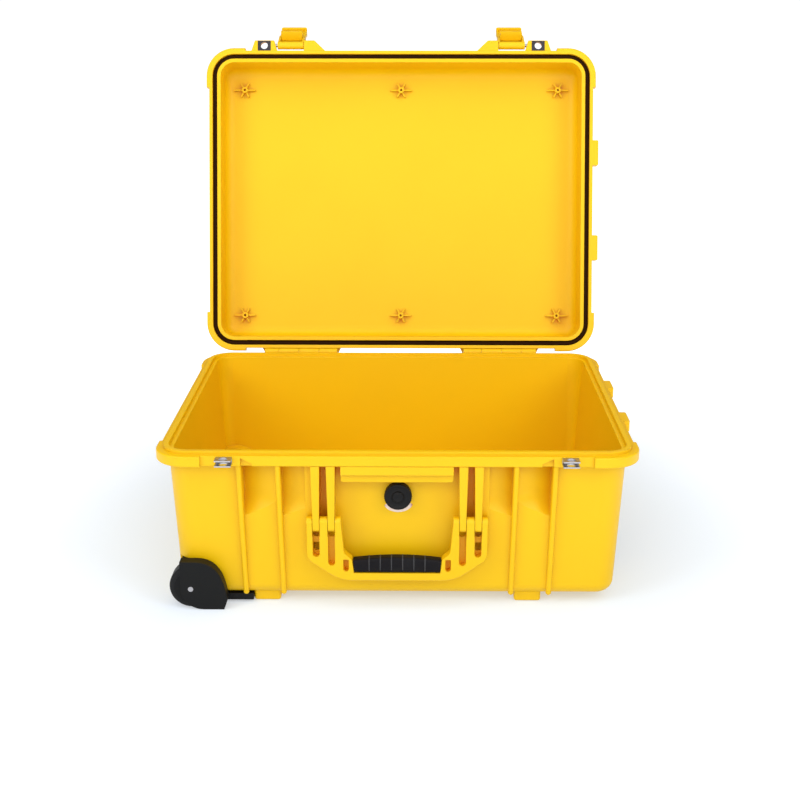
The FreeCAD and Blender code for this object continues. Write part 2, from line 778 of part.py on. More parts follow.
def base_shell():
    blank = base_blank()
    linings = with_twin(latch_pockets(WALL)) + handle_recesses(WALL)
    linings += wheel_wells(WALL) + trough(WALL) + cover_bosses()
    outside = blank.fuse(rim_block(FLANGE_EDGE_R, FLANGE_LOW_Z, RIM_Z))
    linings = [lining.common(outside) for lining in linings]
    shell = fused(blank, [flange(FLANGE_LOW_Z, RIM_Z, FLANGE_LOW_Z), tongue()])
    shell = shell.cut(base_hollow()).fuse(linings)
    shell = shell.fuse(with_twin([foot(-1), foot(1)]))
    shell = shell.cut(base_cuts()).removeSplitter()
    return shell.fuse(base_additions()).cut(base_holes())


def base_cuts():
    cuts = with_twin(latch_pockets(0)) + handle_recesses(0)
    cuts += wheel_wells(0) + trough(0) + with_twin([hook_notch()])
    cuts.append(cover_outline(0, -OVERRUN, FOOT_HEIGHT + COVER_THICK))
    return cuts


def base_additions():
    added = with_twin(front_ribs())
    front_forms = with_twin(handle_fins(FRONT_ARM_X, RECESS_DEPTH)) + [handle_apron(FRONT_ARM_X)]
    added += [on_front(form) for form in front_forms]
    end_root = panel_depth(FIN_LOW_Z) + WALL / 2
    added += [on_right_end(form) for form in with_twin(handle_fins(END_ARM_X, end_root))]
    pad_high = HINGE_Z - KNUCKLE_R - GAP
    hinge = [hinge_pad(pad_high - HINGE_PAD_HEIGHT, pad_high)]
    hinge += hinge_knuckles(0, pad_high - HINGE_PAD_HEIGHT, HINGE_Z)
    return added + with_twin(hinge)


def base_holes():
    holes = with_twin([hinge_bore()])
    for place, arm_x in ((on_front, FRONT_ARM_X), (on_right_end, END_ARM_X)):
        pins = with_twin([handle_pin_line(arm_x, HANDLE_PIN_R + RUNNING_GAP, 0)])
        holes += [place(pin) for pin in pins]
    stem_start = Vec(VALVE_X, -HALF_Y, VALVE_Z)
    holes.append(rod(VALVE_STEM_R + SEAT_GAP, stem_start, RECESS_DEPTH + OVERRUN, Y_AXIS))
    for x, y in cover_screw_places():
        holes.append(screw_bore(x, y, FOOT_HEIGHT, SCREW_LENGTH + COVER_THICK))
    for x, y in stay_screw_places():
        bore = screw_bore(x, y, FOOT_HEIGHT - STAY_HEIGHT, STAY_SCREW_LENGTH)
        holes += [bore, mirror_y(bore)]
    for side in (-1, 1):
        start = Vec(TROUGH_LEFT_X, side * PULL_SPREAD, TUBE_Z)
        holes.append(rod(SLEEVE_R + GAP, start, GRIP_BAY_X - TROUGH_LEFT_X, X_AXIS))
    return holes


# Lid shell, drawn closed

def star_boss(x, y):
    panel = RIM_Z + LID_DEPTH
    start = Vec(x, y, panel - BOSS_HEIGHT)
    boss = rod(BOSS_R, start, BOSS_HEIGHT + WALL / 2, UP)
    gussets = []
    half = GUSSET_THICK / 2
    for index in range(GUSSET_COUNT):
        reach = GUSSET_SHORT_REACH if index % 3 else GUSSET_REACH
        heights = (panel - BOSS_HEIGHT + GUSSET_THICK, panel + WALL / 2)
        gusset = box((x, x + reach), (y - half, y + half), heights)
        gussets.append(gusset.rotated(Vec(x, y, panel), UP, 360 * index / GUSSET_COUNT))
    return fused(boss, gussets)


def boss_places():
    return [(x, y) for x in (-BOSS_X, 0, BOSS_X) for y in (-BOSS_Y, BOSS_Y)]


def lid_tab():
    """Two lugs on the right that carry the latch, with the padlock plate's place in the outer one."""
    low = RIM_Z + TAB_RISE
    root = -HALF_Y + FLANGE_EDGE_R
    tip = -HALF_Y - TAB_OUT
    points = [
        Vec(TAB_INNER_X, root, low),
        Vec(TAB_OUTER_X, root, low),
        Vec(TAB_OUTER_X - TAB_OUTER_SLOPE, tip, low),
        Vec(TAB_INNER_X + TAB_INNER_SLOPE, tip, low),
    ]
    tab = polygon_block(points, Vec(0, 0, TAB_HEIGHT))
    front_edges = [edge for edge in edges_along(tab, X_AXIS) if edge.CenterOfMass.y < tip + GAP]
    tab = tab.makeFillet(TAB_EDGE_R, front_edges)
    inner = LATCH_X - LATCH_BAY / 2
    outer = LATCH_X + LATCH_BAY / 2
    bay = [
        Vec(inner, -HALF_Y, low - OVERRUN),
        Vec(outer, -HALF_Y, low - OVERRUN),
        Vec(outer + TAB_BAY_FLARE, tip, low - OVERRUN),
        Vec(outer + TAB_BAY_FLARE, tip - OVERRUN, low - OVERRUN),
        Vec(inner, tip - OVERRUN, low - OVERRUN),
    ]
    return tab.cut(polygon_block(bay, Vec(0, 0, 2 * OVERRUN)))


def lid_plate_space():
    """Shallow seat under the tab for the padlock plate, with a wider hole above it."""
    low = RIM_Z + TAB_RISE
    reach_x = (PLATE_INNER_X - SEAT_GAP, PLATE_INNER_X + PLATE_WIDTH + SEAT_GAP)
    reach_y = (-HALF_Y - PLATE_REACH - SEAT_GAP, -HALF_Y)
    seat = box(reach_x, reach_y, (low, low + PLATE_THICK))
    hole = rod(PLATE_HOLE_R + PLATE_RELIEF, Vec(PLATE_X, -HALF_Y - PLATE_HOLE_OUT, low), TAB_HEIGHT, UP)
    return seat.fuse(hole)


def latch_pin_rod(radius):
    length = LATCH_BAY + 2 * LATCH_BARREL_R
    return rod(radius, Vec(LATCH_X - length / 2, LATCH_PIN_Y, LATCH_PIN_Z), length, X_AXIS)


def stacking_pads():
    pads = []
    for side in (-1, 1):
        reach_x = (side * FOOT_X - FOOT_WIDTH / 2, side * FOOT_X + FOOT_WIDTH / 2)
        reach_y = (-PAD_LENGTH / 2, PAD_LENGTH / 2)
        pad = box(reach_x, reach_y, (LID_TOP_Z - WALL / 2, LID_TOP_Z + PAD_PROUD))
        pads.append(pad.makeFillet(FOOT_EDGE_R, edges_along(pad, UP)))
    return pads


def seal_ring(gap, low, high):
    outer = TONGUE_INSET - GROOVE_SIDE_GAP + gap
    inner = TONGUE_INSET + TONGUE_WIDTH + GROOVE_SIDE_GAP - gap
    return rim_block(outer, low, high).cut(rim_block(inner, low, high))


def seal_limits():
    """Lower and upper side of the seal with the lid closed."""
    low = RIM_Z + TONGUE_HEIGHT + GAP
    return low, low + SEAL_HEIGHT


def lid_shell():
    body = tray(BODY_INSET, BODY_CORNER_R, LID_FLANGE_Z, LID_TOP_Z, LID_EDGE_R)
    shell = fused(body, [flange(RIM_Z, LID_FLANGE_Z, LID_FLANGE_Z)])
    hollow = tray(MOUTH_INSET, RIM_CORNER_R - MOUTH_INSET, RIM_Z, RIM_Z + LID_DEPTH, LID_HOLLOW_EDGE_R)
    groove = seal_ring(0, RIM_Z - OVERRUN, seal_limits()[1] + SEAT_GAP)
    shell = shell.cut([hollow, groove])
    pad_low = HINGE_Z + KNUCKLE_R + GAP
    hinge = [hinge_pad(pad_low, pad_low + HINGE_PAD_HEIGHT - GAP)]
    hinge += hinge_knuckles(1, HINGE_Z, pad_low + HINGE_PAD_HEIGHT - GAP)
    shell = shell.fuse([star_boss(x, y) for x, y in boss_places()] + stacking_pads())
    shell = shell.fuse(with_twin([lid_tab()] + hinge))
    pilots = []
    for x, y in boss_places():
        start = Vec(x, y, RIM_Z + LID_DEPTH - BOSS_HEIGHT)
        pilots.append(rod(BOSS_PILOT_R, start, BOSS_PILOT_DEPTH, UP))
    holes = with_twin([hinge_bore(), lid_plate_space(), latch_pin_rod(LATCH_PIN_R + RUNNING_GAP)])
    return shell.cut(pilots + holes).removeSplitter()


def lid_seal():
    low, high = seal_limits()
    ring_form = seal_ring(SEAT_GAP, low, high)
    return ring_form.makeFillet(SEAL_EDGE_R, level_edges(ring_form, low))


# Latches, drawn closed on the right

def latch_reach(shrink):
    return (LATCH_X - LATCH_WIDTH / 2 + shrink, LATCH_X + LATCH_WIDTH / 2 - shrink)


def latch_body():
    """Link from the lid pin to the lever pin, with side cheeks round the lever's barrel."""
    reach = latch_reach(0)
    barrel = rod(LATCH_BARREL_R, Vec(reach[0], LATCH_PIN_Y, LATCH_PIN_Z), LATCH_WIDTH, X_AXIS)
    face = LATCH_PIN_Y - LATCH_FACE_OUT
    plate_low = LEVER_PIN_Z + LATCH_FACE_OUT + GAP
    plate = box(reach, (face, face + LATCH_PLATE), (plate_low, LATCH_PIN_Z))
    cheeks = []
    for start in (reach[0], reach[1] - LEVER_CHEEK):
        limits = (start, start + LEVER_CHEEK)
        arm_y = (LATCH_PIN_Y - LEVER_BARREL_R, LATCH_PIN_Y + LEVER_BARREL_R)
        arm = box(limits, arm_y, (LEVER_PIN_Z, LATCH_PIN_Z))
        eye = rod(LEVER_BARREL_R, Vec(start, LATCH_PIN_Y, LEVER_PIN_Z), LEVER_CHEEK, X_AXIS)
        cheeks += [arm, eye]
    body = fused(barrel, [plate] + cheeks)
    return body.cut([latch_pin_rod(LATCH_PIN_R + RUNNING_GAP), lever_pin(LEVER_PIN_R + RUNNING_GAP)])


def lever_pin(radius):
    reach = latch_reach(0)
    return rod(radius, Vec(reach[0], LATCH_PIN_Y, LEVER_PIN_Z), LATCH_WIDTH, X_AXIS)


def latch_lever():
    """Pull lever with a hook that goes under the base's rim and a curled lip for the fingers."""
    reach = latch_reach(LEVER_CHEEK + GAP)
    wide = latch_reach(0)
    width = reach[1] - reach[0]
    barrel = rod(LEVER_BARREL_R, Vec(reach[0], LATCH_PIN_Y, LEVER_PIN_Z), width, X_AXIS)
    face = LATCH_PIN_Y - LATCH_FACE_OUT
    plate_high = LEVER_PIN_Z - LEVER_BARREL_R - GAP
    low = LEVER_PIN_Z - LEVER_LENGTH
    plate_low = low + LEVER_LIP_HEIGHT
    plate = box(wide, (face, face + LEVER_PLATE), (plate_low, plate_high))
    neck = box(reach, (face, face + LEVER_PLATE), (plate_high, LEVER_PIN_Z))
    hook_high = FLANGE_LOW_Z - HOOK_GAP
    hook_y = (LATCH_PIN_Y, -HALF_Y + HOOK_REACH)
    hook = box(reach, hook_y, (hook_high - HOOK_HEIGHT, hook_high))
    ramp = box(reach, (LATCH_PIN_Y, -HALF_Y), (LEVER_PIN_Z, hook_high))
    ribs = []
    for start in (wide[0], wide[1] - LEVER_CHEEK):
        limits = (start, start + LEVER_CHEEK)
        ribs.append(box(limits, (face, LATCH_PIN_Y), (plate_low, plate_high)))
    lever = fused(barrel, [plate, neck, lever_end(wide, face, low), hook, ramp] + ribs)
    return lever.cut(lever_pin(LEVER_PIN_R + RUNNING_GAP))


def lever_end(wide, face, low):
    """Rounded end of the lever, curled inwards, with a lip for the fingers outside."""
    inner = face + LEVER_END_REACH
    end = box(wide, (face - LEVER_LIP_REACH, inner), (low, low + LEVER_LIP_HEIGHT))
    corners = [edge for edge in edges_along(end, Y_AXIS) if edge.CenterOfMass.z < low + GAP]
    end = end.makeFillet(LEVER_LIP_R, corners)
    curl = [edge for edge in edges_along(end, X_AXIS) if edge.CenterOfMass.y > inner - GAP]
    return end.makeFillet(LEVER_END_R, curl)


# Padlock plates on the right

def lid_padlock_plate():
    low = RIM_Z + TAB_RISE
    reach_x = (PLATE_INNER_X, PLATE_INNER_X + PLATE_WIDTH)
    plate = box(reach_x, (-HALF_Y - PLATE_REACH, -HALF_Y - SEAT_GAP), (low, low + PLATE_THICK - SEAT_GAP))
    return plate.cut(rod(PLATE_HOLE_R, Vec(PLATE_X, -HALF_Y - PLATE_HOLE_OUT, low), PLATE_THICK, UP))


def base_padlock_plate():
    """Folded plate with two legs, seated on the front of the rim."""
    high = RIM_Z - PLATE_DROP
    low = high - PLATE_LEG_SPACE - 2 * PLATE_THICK
    reach_x = (PLATE_INNER_X, PLATE_INNER_X + PLATE_WIDTH)
    block = box(reach_x, (-HALF_Y - PLATE_REACH, -HALF_Y), (low, high))
    inner_y = (-HALF_Y - PLATE_REACH - OVERRUN, -HALF_Y - PLATE_THICK)
    space = box(reach_x, inner_y, (low + PLATE_THICK, high - PLATE_THICK))
    hole = rod(PLATE_HOLE_R, Vec(PLATE_X, -HALF_Y - PLATE_HOLE_OUT, low), high - low, UP)
    return block.cut([space, hole])


# Carrying handles, drawn with the rim's outer face at y = 0

def handle_frame(arm_x):
    outer = arm_x + ARM_WIDTH / 2
    inner = arm_x - ARM_WIDTH / 2
    corner = outer - HANDLE_CORNER_INSET
    half = [
        Vec(outer, 0, HANDLE_PIVOT_Z),
        Vec(outer, 0, HANDLE_SHOULDER_Z),
        Vec(corner, 0, HANDLE_LOW_Z),
    ]
    other = [Vec(-point.x, point.y, point.z) for point in reversed(half)]
    frame = polygon_block(half + other, Vec(0, HANDLE_THICK, 0))
    frame = frame.makeFillet(HANDLE_BEND_R, edges_at(frame, HANDLE_LOW_Z))
    frame = frame.makeFillet(HANDLE_SHOULDER_R, edges_at(frame, HANDLE_SHOULDER_Z))
    frame = frame.makeFillet(HANDLE_EDGE_R, handle_rim_edges(frame))
    barrel = rod(HANDLE_PIVOT_Y, Vec(inner, HANDLE_PIVOT_Y, HANDLE_PIVOT_Z), ARM_WIDTH, X_AXIS)
    frame = frame.fuse(with_twin([barrel]))
    slots = handle_slots(arm_x)
    bore = handle_pin_line(arm_x, HANDLE_PIN_R + RUNNING_GAP, 0)
    frame = frame.cut([handle_hole(arm_x), grip_space(arm_x)] + with_twin(slots + [bore]))
    return frame.fuse(grip_core(arm_x, 0)).removeSplitter()


def handle_rim_edges(frame):
    """Outer edges of the handle's front and back, apart from those at the pivots."""
    outline = [edge for edge in frame.Edges if edge.CenterOfMass.z < HANDLE_PIVOT_Z - GAP]
    return [edge for edge in outline if abs(edge.CenterOfMass.y - HANDLE_PIVOT_Y) > GAP]


def handle_slots(arm_x):
    """Slots for the fins in the right arm, and the shallow cored slots below them."""
    width = FIN_WIDTH + 2 * PRONG_GAP
    outer = arm_x + FIN_SPACING / 2
    inner = arm_x - FIN_SPACING / 2
    short = arm_x - SHORT_SLOT_INSET
    high = HANDLE_PIVOT_Z + OVERRUN
    core = FIN_WIDTH
    return [
        round_slot(outer, width, FIN_SLOT_LOW_Z, high, OVERRUN),
        round_slot(inner, width, FIN_SLOT_LOW_Z, high, OVERRUN),
        round_slot(outer, core, OUTER_SLOT_LOW_Z, HANDLE_PIVOT_Z, CORE_SLOT_DEPTH),
        round_slot(outer, core, OUTER_HOLE_LOW_Z, OUTER_HOLE_HIGH_Z, OVERRUN),
        round_slot(inner, core, INNER_SLOT_LOW_Z, HANDLE_PIVOT_Z, CORE_SLOT_DEPTH),
        round_slot(short, SHORT_SLOT_WIDTH, SHORT_SLOT_LOW_Z, SHORT_SLOT_HIGH_Z, CORE_SLOT_DEPTH),
    ]


def round_slot(middle, width, low, high, depth):
    """Upright slot with a round lower end, cut from the front to a depth."""
    half = width / 2
    slot = box((middle - half, middle + half), (-OVERRUN, depth), (low + half, high))
    return slot.fuse(rod(half, Vec(middle, -OVERRUN, low + half), OVERRUN + depth, Y_AXIS))


def handle_hole(arm_x):
    """Opening for the fingers between the arms, above the grip."""
    inner = arm_x - ARM_WIDTH / 2
    side = inner - HANDLE_HOLE_TAPER
    half = [
        Vec(inner, -OVERRUN, HANDLE_PIVOT_Z + OVERRUN),
        Vec(inner, -OVERRUN, HANDLE_PIVOT_Z),
        Vec(side, -OVERRUN, HANDLE_HOLE_SIDE_Z),
        Vec(inner - GRIP_INSET, -OVERRUN, GRIP_HIGH_Z),
    ]
    other = [Vec(-point.x, point.y, point.z) for point in reversed(half)]
    hole = polygon_block(half + other, Vec(0, 2 * OVERRUN, 0))
    return hole.makeFillet(HANDLE_HOLE_R, edges_at(hole, HANDLE_HOLE_SIDE_Z))


def grip_outline(arm_x, grow):
    """Arched outline of the rubber grip."""
    half = arm_x - ARM_WIDTH / 2 - GRIP_INSET + grow
    front = -GRIP_PROUD
    low_right = Vec(half - GRIP_FLARE, front, GRIP_LOW_Z - grow)
    high_right = Vec(half, front, GRIP_HIGH_Z)
    crown = Vec(0, front, GRIP_HIGH_Z + GRIP_ARCH)
    high_left = Vec(-half, front, GRIP_HIGH_Z)
    low_left = Vec(GRIP_FLARE - half, front, GRIP_LOW_Z - grow)
    edges = [
        Part.makeLine(low_left, low_right),
        Part.makeLine(low_right, high_right),
        Part.Arc(high_right, crown, high_left).toShape(),
        Part.makeLine(high_left, low_left),
    ]
    return Part.Face(Part.Wire(edges))


def grip_space(arm_x):
    return grip_outline(arm_x, GAP).extrude(Vec(0, HANDLE_THICK + 2 * GRIP_PROUD, 0))


def grip_core(arm_x, grow):
    """Bar inside the rubber grip, part of the frame."""
    half = arm_x - ARM_WIDTH / 2 - GRIP_INSET + GRIP_FLARE + GAP
    middle = (GRIP_LOW_Z + GRIP_HIGH_Z) / 2
    height = GRIP_CORE_HEIGHT / 2 + grow
    depth = GRIP_CORE_THICK / 2 + grow
    reach_y = (HANDLE_PIVOT_Y - depth, HANDLE_PIVOT_Y + depth)
    return box((-half, half), reach_y, (middle - height, middle + height))


def handle_grip(arm_x):
    grip = grip_outline(arm_x, 0).extrude(Vec(0, HANDLE_THICK + 2 * GRIP_PROUD, 0))
    top_edges = [edge for edge in grip.Edges if edge.CenterOfMass.z > GRIP_HIGH_Z + GAP]
    grip = grip.makeFillet(GRIP_EDGE_R, top_edges)
    half = arm_x - ARM_WIDTH / 2 - GRIP_INSET
    pitch = 2 * half / (GRIP_GROOVES + 2)
    grooves = []
    for index in range(GRIP_GROOVES):
        middle = (index - (GRIP_GROOVES - 1) / 2) * pitch
        reach_x = (middle - GRIP_GROOVE_WIDTH / 2, middle + GRIP_GROOVE_WIDTH / 2)
        low = GRIP_LOW_Z + GRIP_EDGE_R
        high = GRIP_HIGH_Z + GRIP_ARCH + GAP
        front = (-GRIP_PROUD, GRIP_GROOVE_DEPTH - GRIP_PROUD)
        back = (HANDLE_THICK + GRIP_PROUD - GRIP_GROOVE_DEPTH, HANDLE_THICK + GRIP_PROUD)
        grooves += [box(reach_x, front, (low, high)), box(reach_x, back, (low, high))]
    return grip.cut(grooves + [grip_core(arm_x, SEAT_GAP)])


def handle_pins(arm_x):
    return Part.makeCompound(with_twin([handle_pin_line(arm_x, HANDLE_PIN_R, -RUNNING_GAP)]))


# Purge valve, drawn with the rim's outer face at y = 0

def valve_parts():
    out = Vec(0, -1, 0)
    seat = Vec(VALVE_X, RECESS_DEPTH, VALVE_Z)
    gasket = ring(VALVE_R - VALVE_FLANGE, VALVE_STEM_R + SEAT_GAP, seat, VALVE_GASKET, out)
    flange_start = seat + out * VALVE_GASKET
    body = rod(VALVE_R, flange_start, VALVE_FLANGE, out)
    stem = rod(VALVE_STEM_R, flange_start, VALVE_STEM_REACH + VALVE_GASKET, Y_AXIS)
    body = body.makeFillet(VALVE_GASKET, body.Edges[:1]).fuse(stem)
    nut_start = seat + Y_AXIS * WALL
    nut = ring(VALVE_NUT_R, VALVE_STEM_R + SEAT_GAP, nut_start, VALVE_NUT_HEIGHT, Y_AXIS)
    return {
        "valve_gasket": gasket,
        "valve_body": body,
        "valve_nut": hex_trim(nut, nut_start),
        "valve_cap": valve_cap(flange_start + out * VALVE_FLANGE, out),
    }


def hex_trim(nut, start):
    """Six flats round the nut."""
    points = []
    for index in range(6):
        angle = math.radians(60 * index)
        points.append(start + Vec(VALVE_NUT_R * math.cos(angle), 0, VALVE_NUT_R * math.sin(angle)))
    return nut.common(polygon_block(points, Y_AXIS * VALVE_NUT_HEIGHT))


def valve_cap(start, out):
    cap = rod(VALVE_CAP_R, start, VALVE_CAP_HEIGHT, out)
    hub = rod(VALVE_HUB_R, start + out * VALVE_CAP_HEIGHT, VALVE_HUB_HEIGHT, out)
    vents = []
    for index in range(VALVE_VENTS):
        reach_x = (start.x + VALVE_CAP_R - VALVE_VENT_DEPTH, start.x + VALVE_CAP_R + VALVE_VENT_DEPTH)
        reach_z = (start.z - VALVE_VENT_WIDTH / 2, start.z + VALVE_VENT_WIDTH / 2)
        vent = box(reach_x, (start.y, start.y - VALVE_CAP_HEIGHT / 2), reach_z)
        vents.append(vent.rotated(start, Y_AXIS, 360 * index / VALVE_VENTS))
    return cap.fuse(hub).cut(vents)


# Wheel of the front left corner

def wheel_parts():
    start = Vec(AXLE_X, -WHEEL_Y - WHEEL_WIDTH / 2, AXLE_Z)
    hub_r = WHEEL_R - TYRE_THICK
    tyre = ring(WHEEL_R, hub_r, start, WHEEL_WIDTH, Y_AXIS)
    rims = [edge for edge in tyre.Edges if abs(edge.BoundBox.XLength - 2 * WHEEL_R) < GAP]
    tyre = tyre.makeFillet(TYRE_EDGE_R, [edge for edge in rims if edge.BoundBox.YLength < GAP])
    hub = ring(hub_r - RUNNING_GAP, AXLE_R + GAP, start, WHEEL_WIDTH, Y_AXIS)
    bearings = []
    for place in (0, WHEEL_WIDTH - BEARING_WIDTH):
        seat = start + Y_AXIS * place
        hub = hub.cut(rod(BEARING_R + RUNNING_GAP, seat, BEARING_WIDTH, Y_AXIS))
        bearings.append(ring(BEARING_R, AXLE_R + RUNNING_GAP, seat, BEARING_WIDTH, Y_AXIS))
    axle_length = 2 * CHEEK + WHEEL_WIDTH + 2 * WHEEL_SIDE_GAP
    axle = rod(AXLE_R, Vec(AXLE_X, -HALF_Y, AXLE_Z), axle_length, Y_AXIS)
    return {
        "wheel_tyre": tyre,
        "wheel_hub": hub,
        "wheel_bearings": Part.makeCompound(bearings),
        "axle": axle,
        "wheel_housing": wheel_housing(),
        "housing_screws": housing_screws(),
    }


def wheel_housing():
    """Housing with a cheek on each side of the wheel and a stay under the floor."""
    width = 2 * CHEEK + WHEEL_WIDTH + 2 * WHEEL_SIDE_GAP
    back_x = AXLE_X - HOUSING_BACK
    nose_x = back_x + CHEEK_NOSE_R
    crown_x = AXLE_X + CHEEK_CROWN_SHIFT
    cheek = arch(back_x, CHEEK_TOP_Z, crown_x, AXLE_X + CHEEK_SHOULDER_SHIFT, AXLE_X + CHEEK_REACH)
    block = well(-WELL_GAP, back_x).fuse(cheek.extrude(Vec(0, OVERRUN + CHEEK_DEPTH, 0)))
    far_x = HALF_X + OVERRUN
    block = block.common(box((-far_x, far_x), (-HALF_Y, width - HALF_Y), (HOUSING_LOW_Z, RIM_Z)))
    nose = rod(CHEEK_NOSE_R, Vec(nose_x, -HALF_Y, AXLE_Z), width, Y_AXIS)
    below = box((-far_x, nose_x), (-HALF_Y, width - HALF_Y), (0, AXLE_Z))
    block = block.cut(below.cut(nose))
    reach_x, reach_y = stay_limits()
    stay = box(reach_x, reach_y, (FOOT_HEIGHT - STAY_HEIGHT, FOOT_HEIGHT))
    space_start = Vec(AXLE_X, -HALF_Y + CHEEK, AXLE_Z)
    space_r = WHEEL_R + WHEEL_ROUND_GAP
    space_width = WHEEL_WIDTH + 2 * WHEEL_SIDE_GAP
    space = rod(space_r, space_start, space_width, Y_AXIS)
    bore = rod(AXLE_R + RUNNING_GAP, Vec(AXLE_X, -HALF_Y, AXLE_Z), width, Y_AXIS)
    bores = [screw_bore(x, y, FOOT_HEIGHT - STAY_HEIGHT, STAY_SCREW_LENGTH) for x, y in stay_screw_places()]
    return block.fuse(stay).cut([space, bore] + bores).removeSplitter()


def housing_screws():
    low = FOOT_HEIGHT - STAY_HEIGHT
    return Part.makeCompound([screw(x, y, low, STAY_SCREW_LENGTH) for x, y in stay_screw_places()])


# Pull handle

def pull_sleeve(side):
    start = Vec(TROUGH_LEFT_X + GAP, side * PULL_SPREAD, TUBE_Z)
    length = GRIP_BAY_X - TROUGH_LEFT_X - GAP
    tube = ring(SLEEVE_R, SLEEVE_BORE_R, start, length + SLEEVE_COLLAR, X_AXIS)
    collar_start = Vec(GRIP_BAY_X, side * PULL_SPREAD, TUBE_Z)
    return tube.fuse(ring(SLEEVE_COLLAR_R, SLEEVE_BORE_R, collar_start, SLEEVE_COLLAR, X_AXIS))


def pull_tube(side):
    start = Vec(TROUGH_LEFT_X + TUBE_END_GAP, side * PULL_SPREAD, TUBE_Z)
    end_x = PULL_GRIP_X - PULL_GRIP_DEPTH + TUBE_SOCKET
    return ring(TUBE_R, TUBE_BORE_R, start, end_x - start.x, X_AXIS)


def pull_grip():
    half = PULL_GRIP_HALF_WIDTH
    reach_x = (PULL_GRIP_X - PULL_GRIP_DEPTH, PULL_GRIP_X)
    bar = box(reach_x, (-half, half), (PULL_GRIP_LOW_Z, PULL_GRIP_HIGH_Z))
    bar = bar.makeFillet(PULL_GRIP_EDGE_R, edges_along(bar, Y_AXIS) + edges_along(bar, UP))
    sockets = []
    for side in (-1, 1):
        start = Vec(reach_x[0], side * PULL_SPREAD, TUBE_Z)
        sockets.append(rod(TUBE_R + RUNNING_GAP, start, TUBE_SOCKET + RUNNING_GAP, X_AXIS))
    return bar.cut(sockets + [button_block(GAP, BUTTON_DEPTH - BUTTON_PROUD + BUTTON_BACK_SPACE)])


def button_block(grow, depth):
    """Block let into the outer face of the pull grip."""
    middle = (PULL_GRIP_LOW_Z + PULL_GRIP_HIGH_Z) / 2
    half = BUTTON_HALF_WIDTH + grow
    height = BUTTON_HEIGHT / 2 + grow
    return box((PULL_GRIP_X - depth, PULL_GRIP_X), (-half, half), (middle - height, middle + height))


def release_button():
    button = button_block(0, BUTTON_DEPTH).translated(Vec(BUTTON_PROUD, 0, 0))
    outer = [edge for edge in button.Edges if edge.CenterOfMass.x > PULL_GRIP_X + BUTTON_PROUD - GAP]
    return button.makeFillet(BUTTON_EDGE_R, outer)


def release_spring():
    """Small coil between the grip and the button."""
    back = PULL_GRIP_X - BUTTON_DEPTH + BUTTON_PROUD - BUTTON_BACK_SPACE
    middle = (PULL_GRIP_LOW_Z + PULL_GRIP_HIGH_Z) / 2
    height = BUTTON_BACK_SPACE - 2 * SPRING_WIRE_R - 2 * SEAT_GAP
    helix = Part.makeHelix(height / SPRING_TURNS, height, SPRING_R)
    section = Part.Wire(Part.makeCircle(SPRING_WIRE_R, Vec(SPRING_R, 0, 0), Y_AXIS))
    coil = Part.Wire(helix.Edges).makePipeShell([section], True, True)
    turned = coil.rotated(ORIGIN, Y_AXIS, 90)
    return turned.translated(Vec(back + SPRING_WIRE_R + SEAT_GAP, 0, middle))


def pull_cover():
    """Plate under the sleeves, with saddles that hold them apart."""
    plate = cover_outline(GAP, FOOT_HEIGHT, FOOT_HEIGHT + COVER_THICK - SEAT_GAP)
    saddles = []
    for station in (-1, 0, 1):
        for side in (-1, 1):
            for flank in (-1, 1):
                near = side * PULL_SPREAD + flank * (SLEEVE_R + GAP)
                reach_y = (near, near + flank * SADDLE_THICK)
                middle = station * SADDLE_PITCH
                reach_x = (middle - SADDLE_LENGTH / 2, middle + SADDLE_LENGTH / 2)
                saddles.append(box(reach_x, reach_y, (FOOT_HEIGHT, TUBE_Z)))
    bores = [screw_bore(x, y, FOOT_HEIGHT, SCREW_LENGTH) for x, y in cover_screw_places()]
    return fused(plate, saddles).cut(bores)


def cover_screws():
    return Part.makeCompound([screw(x, y, FOOT_HEIGHT, SCREW_LENGTH) for x, y in cover_screw_places()])


# Everything is written out, one file for each piece

def main():
    os.makedirs("parts", exist_ok=True)
    save("base_shell", base_shell())
    save("lid_shell", open_lid(lid_shell()))
    save("lid_seal", open_lid(lid_seal()))
    paired = {
        "hinge_pin": hinge_pin(),
        "latch_body": open_latch(latch_body()),
        "latch_lever": open_latch(latch_lever()),
        "latch_pin": open_lid(latch_pin_rod(LATCH_PIN_R)),
        "lever_pin": open_latch(lever_pin(LEVER_PIN_R)),
        "lid_padlock_plate": open_lid(lid_padlock_plate()),
        "base_padlock_plate": base_padlock_plate(),
    }
    for name, shape in paired.items():
        save("right_" + name, shape)
        save("left_" + name, mirror_x(shape))
    for name, place, arm_x in (("front", on_front, FRONT_ARM_X), ("end", on_right_end, END_ARM_X)):
        save(name + "_handle_frame", place(handle_frame(arm_x)))
        save(name + "_handle_grip", place(handle_grip(arm_x)))
        save(name + "_handle_pins", place(handle_pins(arm_x)))
    for name, shape in valve_parts().items():
        save(name, on_front(shape))
    for name, shape in wheel_parts().items():
        save("front_" + name, shape)
        save("rear_" + name, mirror_y(shape))
    for name, side in (("front", -1), ("rear", 1)):
        save(name + "_pull_sleeve", pull_sleeve(side))
        save(name + "_pull_tube", pull_tube(side))
    save("pull_grip", pull_grip())
    save("release_button", release_button())
    save("release_spring", release_spring())
    save("pull_cover", pull_cover())
    save("cover_screws", cover_screws())


main()
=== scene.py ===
import json
import math

import bmesh
import bpy
from mathutils import Matrix, Vector


